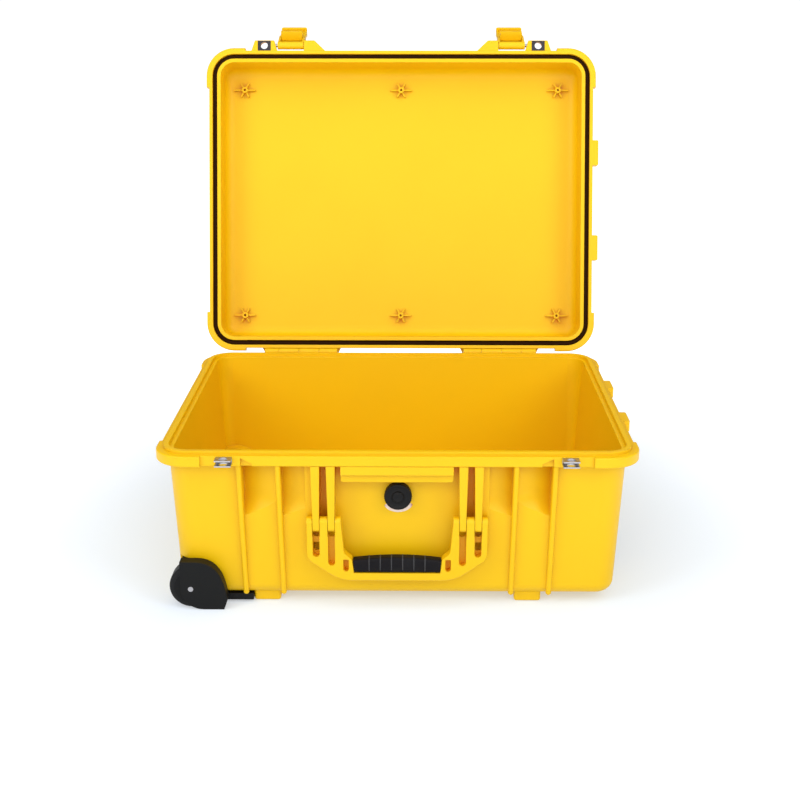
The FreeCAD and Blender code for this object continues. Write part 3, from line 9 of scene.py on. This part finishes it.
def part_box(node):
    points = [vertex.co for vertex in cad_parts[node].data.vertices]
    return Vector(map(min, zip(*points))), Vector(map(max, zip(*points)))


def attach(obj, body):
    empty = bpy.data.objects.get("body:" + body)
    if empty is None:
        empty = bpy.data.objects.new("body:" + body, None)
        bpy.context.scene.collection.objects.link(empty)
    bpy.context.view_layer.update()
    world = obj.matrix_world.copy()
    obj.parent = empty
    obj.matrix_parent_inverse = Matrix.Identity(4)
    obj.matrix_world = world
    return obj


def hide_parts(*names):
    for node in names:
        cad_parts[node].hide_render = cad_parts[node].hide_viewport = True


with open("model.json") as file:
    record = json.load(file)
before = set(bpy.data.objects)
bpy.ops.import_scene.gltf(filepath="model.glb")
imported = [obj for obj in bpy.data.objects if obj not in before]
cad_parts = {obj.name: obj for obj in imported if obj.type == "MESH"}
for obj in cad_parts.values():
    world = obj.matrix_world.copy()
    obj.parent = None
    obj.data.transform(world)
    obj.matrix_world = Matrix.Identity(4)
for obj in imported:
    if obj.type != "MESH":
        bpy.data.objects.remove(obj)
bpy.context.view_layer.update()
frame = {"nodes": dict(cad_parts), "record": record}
MM = 0.001


# Shader maths: a socket that takes part in Python arithmetic

class Value:
    def __init__(self, maker, socket):
        self.maker = maker
        self.socket = socket

    def math(self, operation, first, second):
        return self.maker.node("ShaderNodeMath", {"operation": operation}, {0: first, 1: second})

    def __add__(self, other):
        return self.math("ADD", self, other)

    def __radd__(self, other):
        return self.math("ADD", other, self)

    def __sub__(self, other):
        return self.math("SUBTRACT", self, other)

    def __rsub__(self, other):
        return self.math("SUBTRACT", other, self)

    def __mul__(self, other):
        return self.math("MULTIPLY", self, other)

    def __rmul__(self, other):
        return self.math("MULTIPLY", other, self)

    def smooth(self, low, high):
        """Soft step from 0 at low to 1 at high."""
        sockets = {"Value": self, "From Min": low, "From Max": high}
        return self.maker.node("ShaderNodeMapRange", {"interpolation_type": "SMOOTHSTEP"}, sockets)


class NodeMaker:
    """Adds nodes to a tree: type, settings first, then the values or links of the sockets."""

    def start(self, owner):
        """Takes the emptied tree of a material or a world."""
        owner.use_nodes = True
        self.tree = owner.node_tree
        self.tree.nodes.clear()

    def node(self, kind, settings=None, sockets=None, out=0):
        made = self.tree.nodes.new(kind)
        for key, value in (settings or {}).items():
            setattr(made, key, value)
        for key, value in (sockets or {}).items():
            self.plug(made.inputs[key], value)
        return Value(self, made.outputs[out]) if made.outputs else None

    def plug(self, socket, value):
        if isinstance(value, Value):
            self.tree.links.new(value.socket, socket)
        elif socket.type == "RGBA":
            socket.default_value = (*value, 1)
        else:
            socket.default_value = value


class Finish(NodeMaker):
    """One material, built node by node."""

    def __init__(self, name):
        self.material = bpy.data.materials.new(name)
        self.start(self.material)
        self.place = self.node("ShaderNodeTexCoord", out="Object")

    def noise(self, scale, detail=2.0, rough=0.5, place=None):
        sockets = {"Vector": place or self.place, "Scale": scale, "Detail": detail, "Roughness": rough}
        return self.node("ShaderNodeTexNoise", None, sockets)

    def stretched(self, x, y, z):
        return self.node("ShaderNodeMapping", None, {"Vector": self.place, "Scale": (x, y, z)})

    def mix(self, factor, first, second):
        sockets = {"Factor": factor, 6: first, 7: second}
        return self.node("ShaderNodeMix", {"data_type": "RGBA"}, sockets, out=2)

    def bump(self, height, distance, strength=1.0, normal=None):
        sockets = {"Height": height, "Distance": distance, "Strength": strength}
        if normal is not None:
            sockets["Normal"] = normal
        return self.node("ShaderNodeBump", None, sockets)

    def soft_edges(self, radius):
        """Normal that rounds the sharp edges over a small radius."""
        return self.node("ShaderNodeBevel", {"samples": 4}, {"Radius": radius})

    def edge_mask(self, rounded):
        """1 on the rounded edges, 0 on the flats."""
        flat = self.node("ShaderNodeNewGeometry", out="Normal")
        along = self.node("ShaderNodeVectorMath", {"operation": "DOT_PRODUCT"}, {0: rounded, 1: flat}, out=1)
        return (1 - along).smooth(0.0, 0.25)

    def painted_shade_closeness(self, reach):
        """Near 1 in narrow slots and corners, 0 on open faces; the mask for painted shade."""
        settings = {"samples": 6, "only_local": True}
        return 1 - self.node("ShaderNodeAmbientOcclusion", settings, {"Distance": reach}, out="AO")

    def along_x(self):
        """The place's x as a value."""
        return self.node("ShaderNodeSeparateXYZ", None, {0: self.place}, out="X")

    def finish(self, **sockets):
        named = {key.replace("_", " "): value for key, value in sockets.items()}
        shader = self.node("ShaderNodeBsdfPrincipled", None, named)
        self.node("ShaderNodeOutputMaterial", None, {"Surface": shader})
        return self.material


def moulded_resin(name, colour, deep, pale, hollow_painted_shade, slot_painted_light, rough, edge_radius, specular):
    """Moulded plastic with a fine grain, flow clouds and scuffs, with painted shade in hollows and painted
    light in slots: bounce glow on the yellow, shade on the black.
    """
    f = Finish(name)
    rounded = f.soft_edges(edge_radius)
    edges = f.edge_mask(rounded)
    clouds = f.noise(9.0, 3.0)
    grain = f.noise(1400.0, 2.0)
    scuffs = f.noise(60.0, 4.0, 0.7, f.stretched(1.0, 1.0, 6.0)).smooth(0.66, 0.80)
    tint = f.mix(clouds.smooth(0.35, 0.75) * 0.5, colour, deep)
    tint = f.mix(scuffs * 0.12 + edges * 0.18, tint, pale)
    # Painted light and shade: the colour turns to the hollow colour in hollows and corners, and to the slot
    # colour in narrow slots, standing in for shade and bounce light.
    shade_mask = f.painted_shade_closeness(28 * MM)
    tint = f.mix(shade_mask.smooth(0.3, 0.75), tint, hollow_painted_shade)
    tint = f.mix(shade_mask.smooth(0.7, 0.95), tint, slot_painted_light)
    gloss = rough + (grain - 0.5) * 0.16 + scuffs * 0.12 + (clouds - 0.5) * 0.10
    return f.finish(Base_Color=tint, Roughness=gloss, Specular_IOR_Level=specular,
                    Normal=f.bump(grain, 0.12 * MM, 0.35, rounded))


def rubber(name, colour, pale, rough, specular=0.2):
    """Matte rubber with a fine pebble and dusty high spots."""
    f = Finish(name)
    rounded = f.soft_edges(0.8 * MM)
    edges = f.edge_mask(rounded)
    pebble = f.noise(1100.0, 3.0, 0.6)
    dust = f.noise(45.0, 4.0, 0.65).smooth(0.45, 0.75)
    tint = f.mix(dust * 0.25 + edges * 0.25, colour, pale)
    return f.finish(Base_Color=tint, Roughness=rough + (pebble - 0.5) * 0.2 + dust * 0.08,
                    Specular_IOR_Level=specular, Normal=f.bump(pebble, 0.2 * MM, 0.5, rounded))


# Painted shade: the colour the metal darkens to in narrow gaps and corners.
METAL_PAINTED_SHADE = (0.05, 0.045, 0.05)
BRUSHED_X = (1.0, 12.0, 12.0)
DRAWN_X = (0.05, 1.0, 1.0)


def brushed_metal(name, colour, dark, rough, stretch):
    """Metal brushed along one direction, which has the least of the three stretch values."""
    f = Finish(name)
    rounded = f.soft_edges(0.3 * MM)
    lines = f.noise(900.0, 3.0, 0.6, f.stretched(*stretch))
    smears = f.noise(70.0, 3.0)
    tint = f.mix(lines.smooth(0.35, 0.7) * 0.4 + smears.smooth(0.5, 0.8) * 0.25, colour, dark)
    # Painted shade in gaps and corners.
    tint = f.mix(f.painted_shade_closeness(6 * MM).smooth(0.25, 0.85), tint, METAL_PAINTED_SHADE)
    gloss = rough + (lines - 0.5) * 0.25 + (smears - 0.5) * 0.15
    return f.finish(Base_Color=tint, Metallic=1.0, Roughness=gloss,
                    Normal=f.bump(lines, 0.05 * MM, 0.5, rounded))


def pale_floor():
    """White paper sweep, painted bluish against the yellow light that the case bounces onto it, with a
    painted glow that grows far away, so that its far end stays white.
    """
    f = Finish("pale_floor")
    cloud = f.noise(1.5, 2.0)
    # Painted light: the bluish tint cancels the yellow bounce light from the case.
    tint = f.mix(cloud, (0.47, 0.535, 0.61), (0.49, 0.555, 0.63))
    away = f.node("ShaderNodeVectorMath", {"operation": "LENGTH"}, {0: f.place}, out=1)
    glow = f.mix(away.smooth(0.28, 0.95), (0.41, 0.41, 0.41), (1.0, 1.0, 1.0))
    return f.finish(Base_Color=tint, Roughness=0.9, Specular_IOR_Level=0.0,
                    Emission_Color=glow, Emission_Strength=1.0)


BAND_X = 1.0 * MM
BAND_PALE = (0.80, 0.64, 0.54)
BAND_RED = (0.40, 0.04, 0.015)

# The red starts and is full at these squares of the distance from the band's middle, in square metres
BAND_RED_FROM = 0.00017
BAND_RED_FULL = 0.00030


def marking_paint():
    """Pale paint band that turns dull red towards its two tips."""
    f = Finish("marking_paint")
    x = f.along_x() - BAND_X
    wear = f.noise(420.0, 3.0)
    tips = (x * x).smooth(BAND_RED_FROM, BAND_RED_FULL)
    tint = f.mix(tips + wear.smooth(0.6, 0.8) * 0.2, BAND_PALE, BAND_RED)
    return f.finish(Base_Color=tint, Roughness=0.45 + (wear - 0.5) * 0.2,
                    Normal=f.bump(wear, 0.05 * MM, 0.4))


# The hollow and slot colours are painted shade and painted bounce light, not tints of the resin.
YELLOW = moulded_resin(
    "yellow_resin", colour=(0.80, 0.48, 0.001), deep=(0.78, 0.46, 0.001), pale=(0.86, 0.60, 0.03),
    hollow_painted_shade=(0.70, 0.37, 0.001), slot_painted_light=(0.96, 0.36, 0.002),
    rough=0.42, edge_radius=1.2 * MM, specular=0.25)
BLACK = moulded_resin(
    "black_resin", colour=(0.006, 0.006, 0.006), deep=(0.008, 0.007, 0.007), pale=(0.03, 0.03, 0.03),
    hollow_painted_shade=(0.004, 0.003, 0.003), slot_painted_light=(0.003, 0.003, 0.003),
    rough=0.45, edge_radius=0.9 * MM, specular=0.16)
GRIP_RUBBER = rubber(
    "grip_rubber", colour=(0.006, 0.005, 0.006), pale=(0.02, 0.02, 0.022), rough=0.5, specular=0.12)
# Painted highlight: the ridges take a lighter copy of the grip's black rubber, standing in for the light
# along their crests.
RIDGE_HIGHLIGHT_RUBBER = rubber(
    "ridge_rubber_painted_highlight", colour=(0.05, 0.049, 0.052), pale=(0.10, 0.10, 0.105), rough=0.45)
SEAL_RUBBER = rubber(
    "seal_rubber", colour=(0.024, 0.008, 0.001), pale=(0.04, 0.014, 0.003), rough=0.65, specular=0.05)
TYRE = rubber(
    "wheel_polyurethane", colour=(0.008, 0.008, 0.008), pale=(0.03, 0.029, 0.028), rough=0.5)
STEEL = brushed_metal(
    "stainless_steel", colour=(0.50, 0.48, 0.49), dark=(0.34, 0.32, 0.33), rough=0.34, stretch=BRUSHED_X)
PLATE_STEEL = brushed_metal(
    "plate_steel", colour=(0.055, 0.05, 0.055), dark=(0.03, 0.028, 0.03), rough=0.5, stretch=BRUSHED_X)
ALUMINIUM = brushed_metal(
    "aluminium_tube", colour=(0.78, 0.78, 0.79), dark=(0.62, 0.62, 0.63), rough=0.32, stretch=DRAWN_X)
MARKING = marking_paint()

FINISH_OF_SLOT = {
    "yellow_resin": YELLOW,
    "black_resin": BLACK,
    "grip_rubber": GRIP_RUBBER,
    "seal_rubber": SEAL_RUBBER,
    "wheel_polyurethane": TYRE,
    "stainless_steel": STEEL,
    "aluminium_tube": ALUMINIUM,
}

for subpart in frame["record"]["subparts"]:
    node = frame["nodes"][subpart["node"]]
    node.data.materials.clear()
    node.data.materials.append(FINISH_OF_SLOT[subpart["material_slot"]])

for side in ("left", "right"):
    plate = frame["nodes"][side + "_lid_padlock_plate"]
    plate.data.materials[0] = PLATE_STEEL


# Geometry Nodes: what stands in a row or in a ring

class Layout(NodeMaker):
    """A tree with named inputs that sets copies of a small form and gives them a material."""

    def __init__(self, name, inputs):
        self.tree = bpy.data.node_groups.new(name, "GeometryNodeTree")
        self.sockets = {}
        for label, kind in {"Form": "Geometry", **inputs, "Material": "Material"}.items():
            made = self.tree.interface.new_socket(label, in_out="INPUT", socket_type="NodeSocket" + kind)
            self.sockets[label] = made.identifier
        self.tree.interface.new_socket("Result", in_out="OUTPUT", socket_type="NodeSocketGeometry")

    def given_value(self, label):
        return self.node("NodeGroupInput", out=label)

    def copies(self, points, rotation=(0, 0, 0)):
        sockets = {"Points": points, "Instance": self.given_value("Form"), "Rotation": rotation}
        set_out = self.node("GeometryNodeInstanceOnPoints", None, sockets)
        real = self.node("GeometryNodeRealizeInstances", None, {"Geometry": set_out})
        sockets = {"Geometry": real, "Material": self.given_value("Material")}
        coated = self.node("GeometryNodeSetMaterial", None, sockets)
        self.node("NodeGroupOutput", None, {"Result": coated})

    def grown(self, form, **values):
        """Plain mesh of the copies of a form."""
        seat = bpy.data.objects.new("layout", form)
        bpy.context.scene.collection.objects.link(seat)
        modifier = seat.modifiers.new("layout", "NODES")
        modifier.node_group = self.tree
        for label, value in values.items():
            modifier[self.sockets[label]] = value
        graph = bpy.context.evaluated_depsgraph_get()
        mesh = bpy.data.meshes.new_from_object(seat.evaluated_get(graph))
        bpy.data.objects.remove(seat)
        return mesh


def row_layout():
    """Copies along a line, each lower than the middle by its distance squared."""
    tree = Layout("row_layout", {"Count": "Int", "Start": "Vector", "Pitch": "Vector", "Sag": "Float"})
    count = tree.given_value("Count")
    start, pitch = tree.given_value("Start"), tree.given_value("Pitch")
    sockets = {"Count": count, "Start Location": start, "Offset": pitch}
    line = tree.node("GeometryNodeMeshLine", None, sockets)
    off_middle = tree.node("GeometryNodeInputIndex") - (count - 1) * 0.5
    fall = -1 * (tree.given_value("Sag") * off_middle * off_middle)
    drop = tree.node("ShaderNodeCombineXYZ", None, {"Z": fall})
    tree.copies(tree.node("GeometryNodeSetPosition", None, {"Geometry": line, "Offset": drop}))
    return tree


def ring_layout():
    """Copies round the z axis, each turned to face outwards."""
    tree = Layout("ring_layout", {"Count": "Int", "Radius": "Float", "Turn": "Float"})
    sockets = {"Vertices": tree.given_value("Count"), "Radius": tree.given_value("Radius")}
    circle = tree.node("GeometryNodeMeshCircle", None, sockets)
    angle = tree.node("GeometryNodeInputIndex") * tree.given_value("Turn")
    tree.copies(circle, tree.node("ShaderNodeCombineXYZ", None, {"Z": angle}))
    return tree


ROW = row_layout()
RING = ring_layout()


# Meshes

def mesh_of(name, points, faces):
    mesh = bpy.data.meshes.new(name)
    mesh.from_pydata(points, [], faces)
    mesh.update()
    return mesh


def rings_mesh(name, rings):
    """Closed skin over rings of points, with both ends filled."""
    count = len(rings[0])
    points = [point for ring in rings for point in ring]
    faces = []
    for low in range(0, len(points) - count, count):
        for step in range(count):
            after = (step + 1) % count
            faces.append((low + step, low + after, low + count + after, low + count + step))
    faces.append(tuple(reversed(range(count))))
    faces.append(tuple(range(len(points) - count, len(points))))
    mesh = mesh_of(name, points, faces)
    form = bmesh.new()
    form.from_mesh(mesh)
    bmesh.ops.recalc_face_normals(form, faces=form.faces)
    for face in form.faces:
        face.smooth = len(face.verts) == 4
    form.to_mesh(mesh)
    form.free()
    return mesh


def angles_round(steps):
    return [2 * math.pi * step / steps for step in range(steps)]


def lathe(name, profile, steps):
    """Skin of a profile of radius and height, turned about the z axis."""
    angles = angles_round(steps)
    rings = []
    for radius, height in profile:
        rings.append([(radius * math.cos(a), radius * math.sin(a), height) for a in angles])
    return rings_mesh(name, rings)


def tube(name, path, radius, steps):
    """Round rod along a path of points in the y z plane."""
    side = Vector((1, 0, 0))
    rings = []
    for index, point in enumerate(path):
        before = Vector(path[max(index - 1, 0)])
        after = Vector(path[min(index + 1, len(path) - 1)])
        up = (after - before).normalized().cross(side)
        spokes = [math.cos(a) * side + math.sin(a) * up for a in angles_round(steps)]
        rings.append([Vector(point) + radius * spoke for spoke in spokes])
    return rings_mesh(name, rings)


def joined(name, *meshes):
    form = bmesh.new()
    for mesh in meshes:
        form.from_mesh(mesh)
    mesh = bpy.data.meshes.new(name)
    form.to_mesh(mesh)
    form.free()
    return mesh


def add_piece(mesh, finish, body, replaced=()):
    mesh.materials.clear()
    mesh.materials.append(finish)
    piece = bpy.data.objects.new(mesh.name, mesh)
    bpy.context.scene.collection.objects.link(piece)
    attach(piece, body)
    if replaced:
        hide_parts(*replaced)


# Rubber grips of the carrying handles, drawn along x with the outside at -y

GRIP_ARCH = 3.5 * MM
GRIP_FLARE = 2.0 * MM
GRIP_CORNER = 3.2 * MM
GRIP_CORNER_STEPS = 5
GRIP_END_ROUND = 1.2 * MM
GRIP_END_STEP_DEG = 15
GRIP_FIRST_SHARE = 0.97
GRIP_SHARE_STEP = 0.05
GRIP_STATIONS = 20
RIDGE_COUNT = 6
RIDGE_STEPS = 8
RIDGE_PROUD = 0.5 * MM
RIDGE_RADIUS = 0.75 * MM
RIDGE_FOOT = GRIP_CORNER * 1.3
RIDGE_BEND = GRIP_CORNER * 1.6


def section_points(depth, height, corner):
    """Rounded rectangle about the middle of its depth, from its lower edge up."""
    points = []
    for centre_y, centre_z, start in ((1, 0, -90), (1, 1, 0), (-1, 1, 90), (-1, 0, 180)):
        for step in range(GRIP_CORNER_STEPS + 1):
            angle = math.radians(start + 90 * step / GRIP_CORNER_STEPS)
            y = centre_y * (depth / 2 - corner) + corner * math.cos(angle)
            z = (height - corner if centre_z else corner) + corner * math.sin(angle)
            points.append((y, z))
    return points


def grip_mesh(name, half, depth, height):
    """Arched bar whose ends lean in towards its lower edge."""
    turns = [math.radians(turn) for turn in range(0, 91, GRIP_END_STEP_DEG)]
    stations = [half - GRIP_END_ROUND * (1 - math.cos(turn)) for turn in turns]
    shares = [GRIP_FIRST_SHARE - GRIP_SHARE_STEP * step for step in range(GRIP_STATIONS)]
    stations += [half * share for share in shares]
    stations += [-place for place in reversed(stations)]
    rings = []
    for place in stations:
        from_end = min(half - abs(place), GRIP_END_ROUND)
        rounding = GRIP_END_ROUND - math.sqrt(GRIP_END_ROUND ** 2 - (GRIP_END_ROUND - from_end) ** 2)
        inset = RIDGE_PROUD + rounding
        tall = height - GRIP_ARCH * (place / half) ** 2 - 2 * inset
        section = section_points(depth - 2 * inset, tall, GRIP_CORNER - inset / 2)
        ring = []
        for y, z in section:
            lean = 1 - GRIP_FLARE / half * (1 - z / height)
            ring.append((place * lean, y, z + inset))
        rings.append(ring)
    return rings_mesh(name, rings)


def ridge_mesh(depth, height):
    """Thin rod up one face of the grip, over its top and down the other face."""
    section = section_points(depth - 2 * RIDGE_RADIUS, height - RIDGE_RADIUS, GRIP_CORNER)
    over = [(0, y, z) for y, z in section if z > RIDGE_BEND]
    foot_y = over[0][1]
    path = [(0, foot_y, RIDGE_FOOT)] + over + [(0, -foot_y, RIDGE_FOOT)]
    return tube("ridge", path, RIDGE_RADIUS, RIDGE_STEPS)


def add_grip(side, turn):
    """Grip cover of one carrying handle, turned to its wall."""
    node = side + "_handle_grip"
    low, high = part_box(node)
    size = turn.inverted() @ (high - low)
    half, depth, height = abs(size.x) / 2, abs(size.y), size.z
    pitch = 2 * half / (RIDGE_COUNT + 2)
    sag = GRIP_ARCH / half ** 2 * pitch ** 2
    start = -pitch * (RIDGE_COUNT - 1) / 2
    # The ridges wear the lighter rubber, a painted highlight.
    ridges = ROW.grown(ridge_mesh(depth, height), Count=RIDGE_COUNT, Start=(start, 0, 0),
                       Pitch=(pitch, 0, 0), Sag=sag, Material=RIDGE_HIGHLIGHT_RUBBER)
    ridges.name = side + "_grip_ridges"
    cover = grip_mesh(side + "_grip_cover", half, depth, height)
    middle = (low + high) / 2
    for mesh in (cover, ridges):
        mesh.transform(Matrix.Translation((middle.x, middle.y, low.z)) @ turn.to_4x4())
    add_piece(cover, GRIP_RUBBER, side + "_handle", (node,))
    add_piece(ridges, RIDGE_HIGHLIGHT_RUBBER, side + "_handle")


add_grip("front", Matrix.Identity(3))
add_grip("end", Matrix.Rotation(math.pi / 2, 3, "Z"))


# Ridges on the outside of the pull handle's grip, on both sides of its button

PULL_RIDGES = 5
PULL_RIDGE_STEPS = 10
PULL_MARGIN = 4.0 * MM


def add_pull_ridges():
    low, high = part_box("pull_grip")
    foot, top = low.z + PULL_MARGIN, high.z - PULL_MARGIN
    bow = [
        (0, 0, foot),
        (0, -RIDGE_PROUD, foot + RIDGE_PROUD),
        (0, -RIDGE_PROUD, top - RIDGE_PROUD),
        (0, 0, top),
    ]
    rod = tube("ridge", bow, RIDGE_RADIUS, PULL_RIDGE_STEPS)
    rod.transform(Matrix.Rotation(math.pi / 2, 4, "Z"))
    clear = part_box("release_button")[1].y
    pitch = (high.y - clear) / (PULL_RIDGES + 1)
    rows = []
    for side in (-1, 1):
        start = (high.x, side * (clear + pitch), 0)
        step = (0, side * pitch, 0)
        rows.append(ROW.grown(rod, Count=PULL_RIDGES, Start=start, Pitch=step, Sag=0.0, Material=BLACK))
    mesh = joined("pull_grip_ridges", *rows)
    add_piece(mesh, BLACK, "pull_handle")


add_pull_ridges()


# Purge valve: turned dial with ribs round its side, and the plain marking band below it

DIAL_STEPS = 96
DIAL_HUB_HEIGHT = 2.4 * MM
DIAL_HUB_DIP = 0.5 * MM
DIAL_MIDDLE = 0.2 * MM
DIAL_BACK = 0.1 * MM
DIAL_RIM_IN = 0.1 * MM
DIAL_RIM_UP = 0.2 * MM
DIAL_SIDE_DROP = 0.6 * MM
DIAL_SIDE_FOOT = 0.8 * MM
DIAL_FOOT_IN = 0.5 * MM

# From the hub outwards: share of the radius, and height in mm over the hub's top or over the face
DIAL_HUB_PROFILE = [(0.13, -0.5), (0.18, -0.1), (0.30, 0.0), (0.38, -0.2), (0.41, -0.8)]
DIAL_FACE_PROFILE = [
    (0.43, 0.2), (0.47, -0.3), (0.60, -0.2), (0.78, 0.2), (0.83, 0.9), (0.89, 1.2), (0.94, 1.0)]

RIB_COUNT = 40
RIB_STEPS = 8
RIB_RADIUS = 0.4 * MM
RIB_TIP_RADIUS = 0.05 * MM
RIB_MARGIN = 1.0 * MM

BAND_Z = 137.5 * MM
BAND_THICK = 0.4 * MM
BAND_STEPS = 40
BAND_START_DEG = 222
BAND_TURN_DEG = 100
BAND_INNER = 16.4 * MM
BAND_OUTER = 22.7 * MM
BAND_INNER_TAPER = 0.8 * MM
BAND_OUTER_TAPER = 1.2 * MM
BAND_TAPER_POWER = 6


def add_valve_dial():
    low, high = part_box("valve_cap")
    radius = (high.x - low.x) / 2
    height = high.y - low.y
    side = radius - RIB_RADIUS
    face = height - DIAL_HUB_HEIGHT
    profile = [(DIAL_MIDDLE, height - DIAL_HUB_DIP)]
    profile += [(share * radius, height + rise * MM) for share, rise in DIAL_HUB_PROFILE]
    profile += [(share * radius, face + rise * MM) for share, rise in DIAL_FACE_PROFILE]
    profile += [
        (side - DIAL_RIM_IN, face + DIAL_RIM_UP),
        (side, face - DIAL_SIDE_DROP),
        (side, DIAL_SIDE_FOOT),
        (side - DIAL_FOOT_IN, DIAL_BACK),
        (DIAL_MIDDLE, DIAL_BACK),
    ]
    dial = lathe("dial", profile, DIAL_STEPS)
    shoulder = RIB_MARGIN + RIB_RADIUS
    rib_profile = [
        (RIB_TIP_RADIUS, RIB_MARGIN),
        (RIB_RADIUS, shoulder),
        (RIB_RADIUS, face - shoulder),
        (RIB_TIP_RADIUS, face - RIB_MARGIN),
    ]
    rib = lathe("rib", rib_profile, RIB_STEPS)
    ribs = RING.grown(rib, Count=RIB_COUNT, Radius=side, Turn=2 * math.pi / RIB_COUNT, Material=BLACK)
    mesh = joined("valve_dial", dial, ribs)
    middle = (low + high) / 2
    mesh.transform(Matrix.Translation((middle.x, high.y, middle.z)) @ Matrix.Rotation(math.pi / 2, 4, "X"))
    add_piece(mesh, BLACK, "base", ("valve_cap",))


def add_marking_band():
    """Thin crescent of paint on the recess wall under the dial."""
    wall_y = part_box("valve_gasket")[1].y
    centre = Vector((BAND_X, wall_y, BAND_Z))
    front = Vector((0, -BAND_THICK, 0))
    rings = []
    for step in range(BAND_STEPS + 1):
        share = step / BAND_STEPS
        angle = math.radians(BAND_START_DEG + BAND_TURN_DEG * share)
        tip = abs(2 * share - 1) ** BAND_TAPER_POWER
        spoke = Vector((math.cos(angle), 0, math.sin(angle)))
        inner = centre + spoke * (BAND_INNER + BAND_INNER_TAPER * tip)
        outer = centre + spoke * (BAND_OUTER - BAND_OUTER_TAPER * tip)
        rings.append([inner, outer, outer + front, inner + front])
    mesh = rings_mesh("valve_marking_band", rings)
    for face in mesh.polygons:
        face.use_smooth = False
    add_piece(mesh, MARKING, "base")


add_valve_dial()
add_marking_band()


# Camera, light and floor

CAMERA_SENSOR_MM = 36.0
CAMERA_LENS_MM = 58.69
CAMERA_FAR = 50.0
CAMERA_PLACE = (0.016069, -1.601782, 0.704386)
CAMERA_PITCH = 0.3095
CAMERA_YAW = 0.0091
FLOOR_REACH = 30.0
WHITE = (1, 1, 1)
AMBIENT = 0.29
BACKDROP = 1.05

# Name, place, target, size in metres and power in watts
SOFTBOXES = [
    ("front_softbox", (0.0, -2.8, 1.5), (0, 0, 0.3), (3.0, 2.4), 40),
    ("side_softbox", (-2.1, -1.8, 1.9), (0, 0, 0.3), (1.2, 1.6), 29),
    ("side_softbox", (2.1, -1.8, 1.9), (0, 0, 0.3), (1.2, 1.6), 29),
    ("top_softbox", (0.0, -0.6, 2.6), (0, 0, 0.2), (3.8, 1.6), 33),
]


def add_camera():
    camera = bpy.data.cameras.new("camera")
    camera.sensor_width = CAMERA_SENSOR_MM
    camera.lens = CAMERA_LENS_MM
    camera.clip_end = CAMERA_FAR
    seat = bpy.data.objects.new("camera", camera)
    seat.location = CAMERA_PLACE
    seat.rotation_euler = (math.pi / 2 - CAMERA_PITCH, 0, CAMERA_YAW)
    bpy.context.scene.collection.objects.link(seat)
    bpy.context.scene.camera = seat


def softbox(name, place, target, size, power):
    lamp = bpy.data.lights.new(name, "AREA")
    lamp.shape = "RECTANGLE"
    lamp.size, lamp.size_y = size
    lamp.energy = power
    seat = bpy.data.objects.new(name, lamp)
    seat.location = place
    seat.rotation_euler = (Vector(target) - Vector(place)).to_track_quat("-Z", "Y").to_euler()
    bpy.context.scene.collection.objects.link(seat)


def white_room():
    """Even light from all round, with a plain white backdrop behind the object."""
    world = bpy.data.worlds.new("studio")
    room = NodeMaker()
    room.start(world)
    light = room.node("ShaderNodeBackground", None, {"Color": WHITE, "Strength": AMBIENT})
    paper = room.node("ShaderNodeBackground", None, {"Color": WHITE, "Strength": BACKDROP})
    seen = room.node("ShaderNodeLightPath", out="Is Camera Ray")
    chosen = room.node("ShaderNodeMixShader", None, {0: seen, 1: light, 2: paper})
    room.node("ShaderNodeOutputWorld", None, {"Surface": chosen})
    return world


def add_studio():
    scene = bpy.context.scene
    scene.world = white_room()
    for values in SOFTBOXES:
        softbox(*values)
    scene.view_settings.view_transform = "Standard"


def add_floor():
    turns = ((-1, -1), (1, -1), (1, 1), (-1, 1))
    corners = [(x * FLOOR_REACH, y * FLOOR_REACH, 0) for x, y in turns]
    floor = bpy.data.objects.new("floor", mesh_of("floor", corners, [(0, 1, 2, 3)]))
    floor.data.materials.append(pale_floor())
    bpy.context.scene.collection.objects.link(floor)


add_camera()
add_studio()
add_floor()
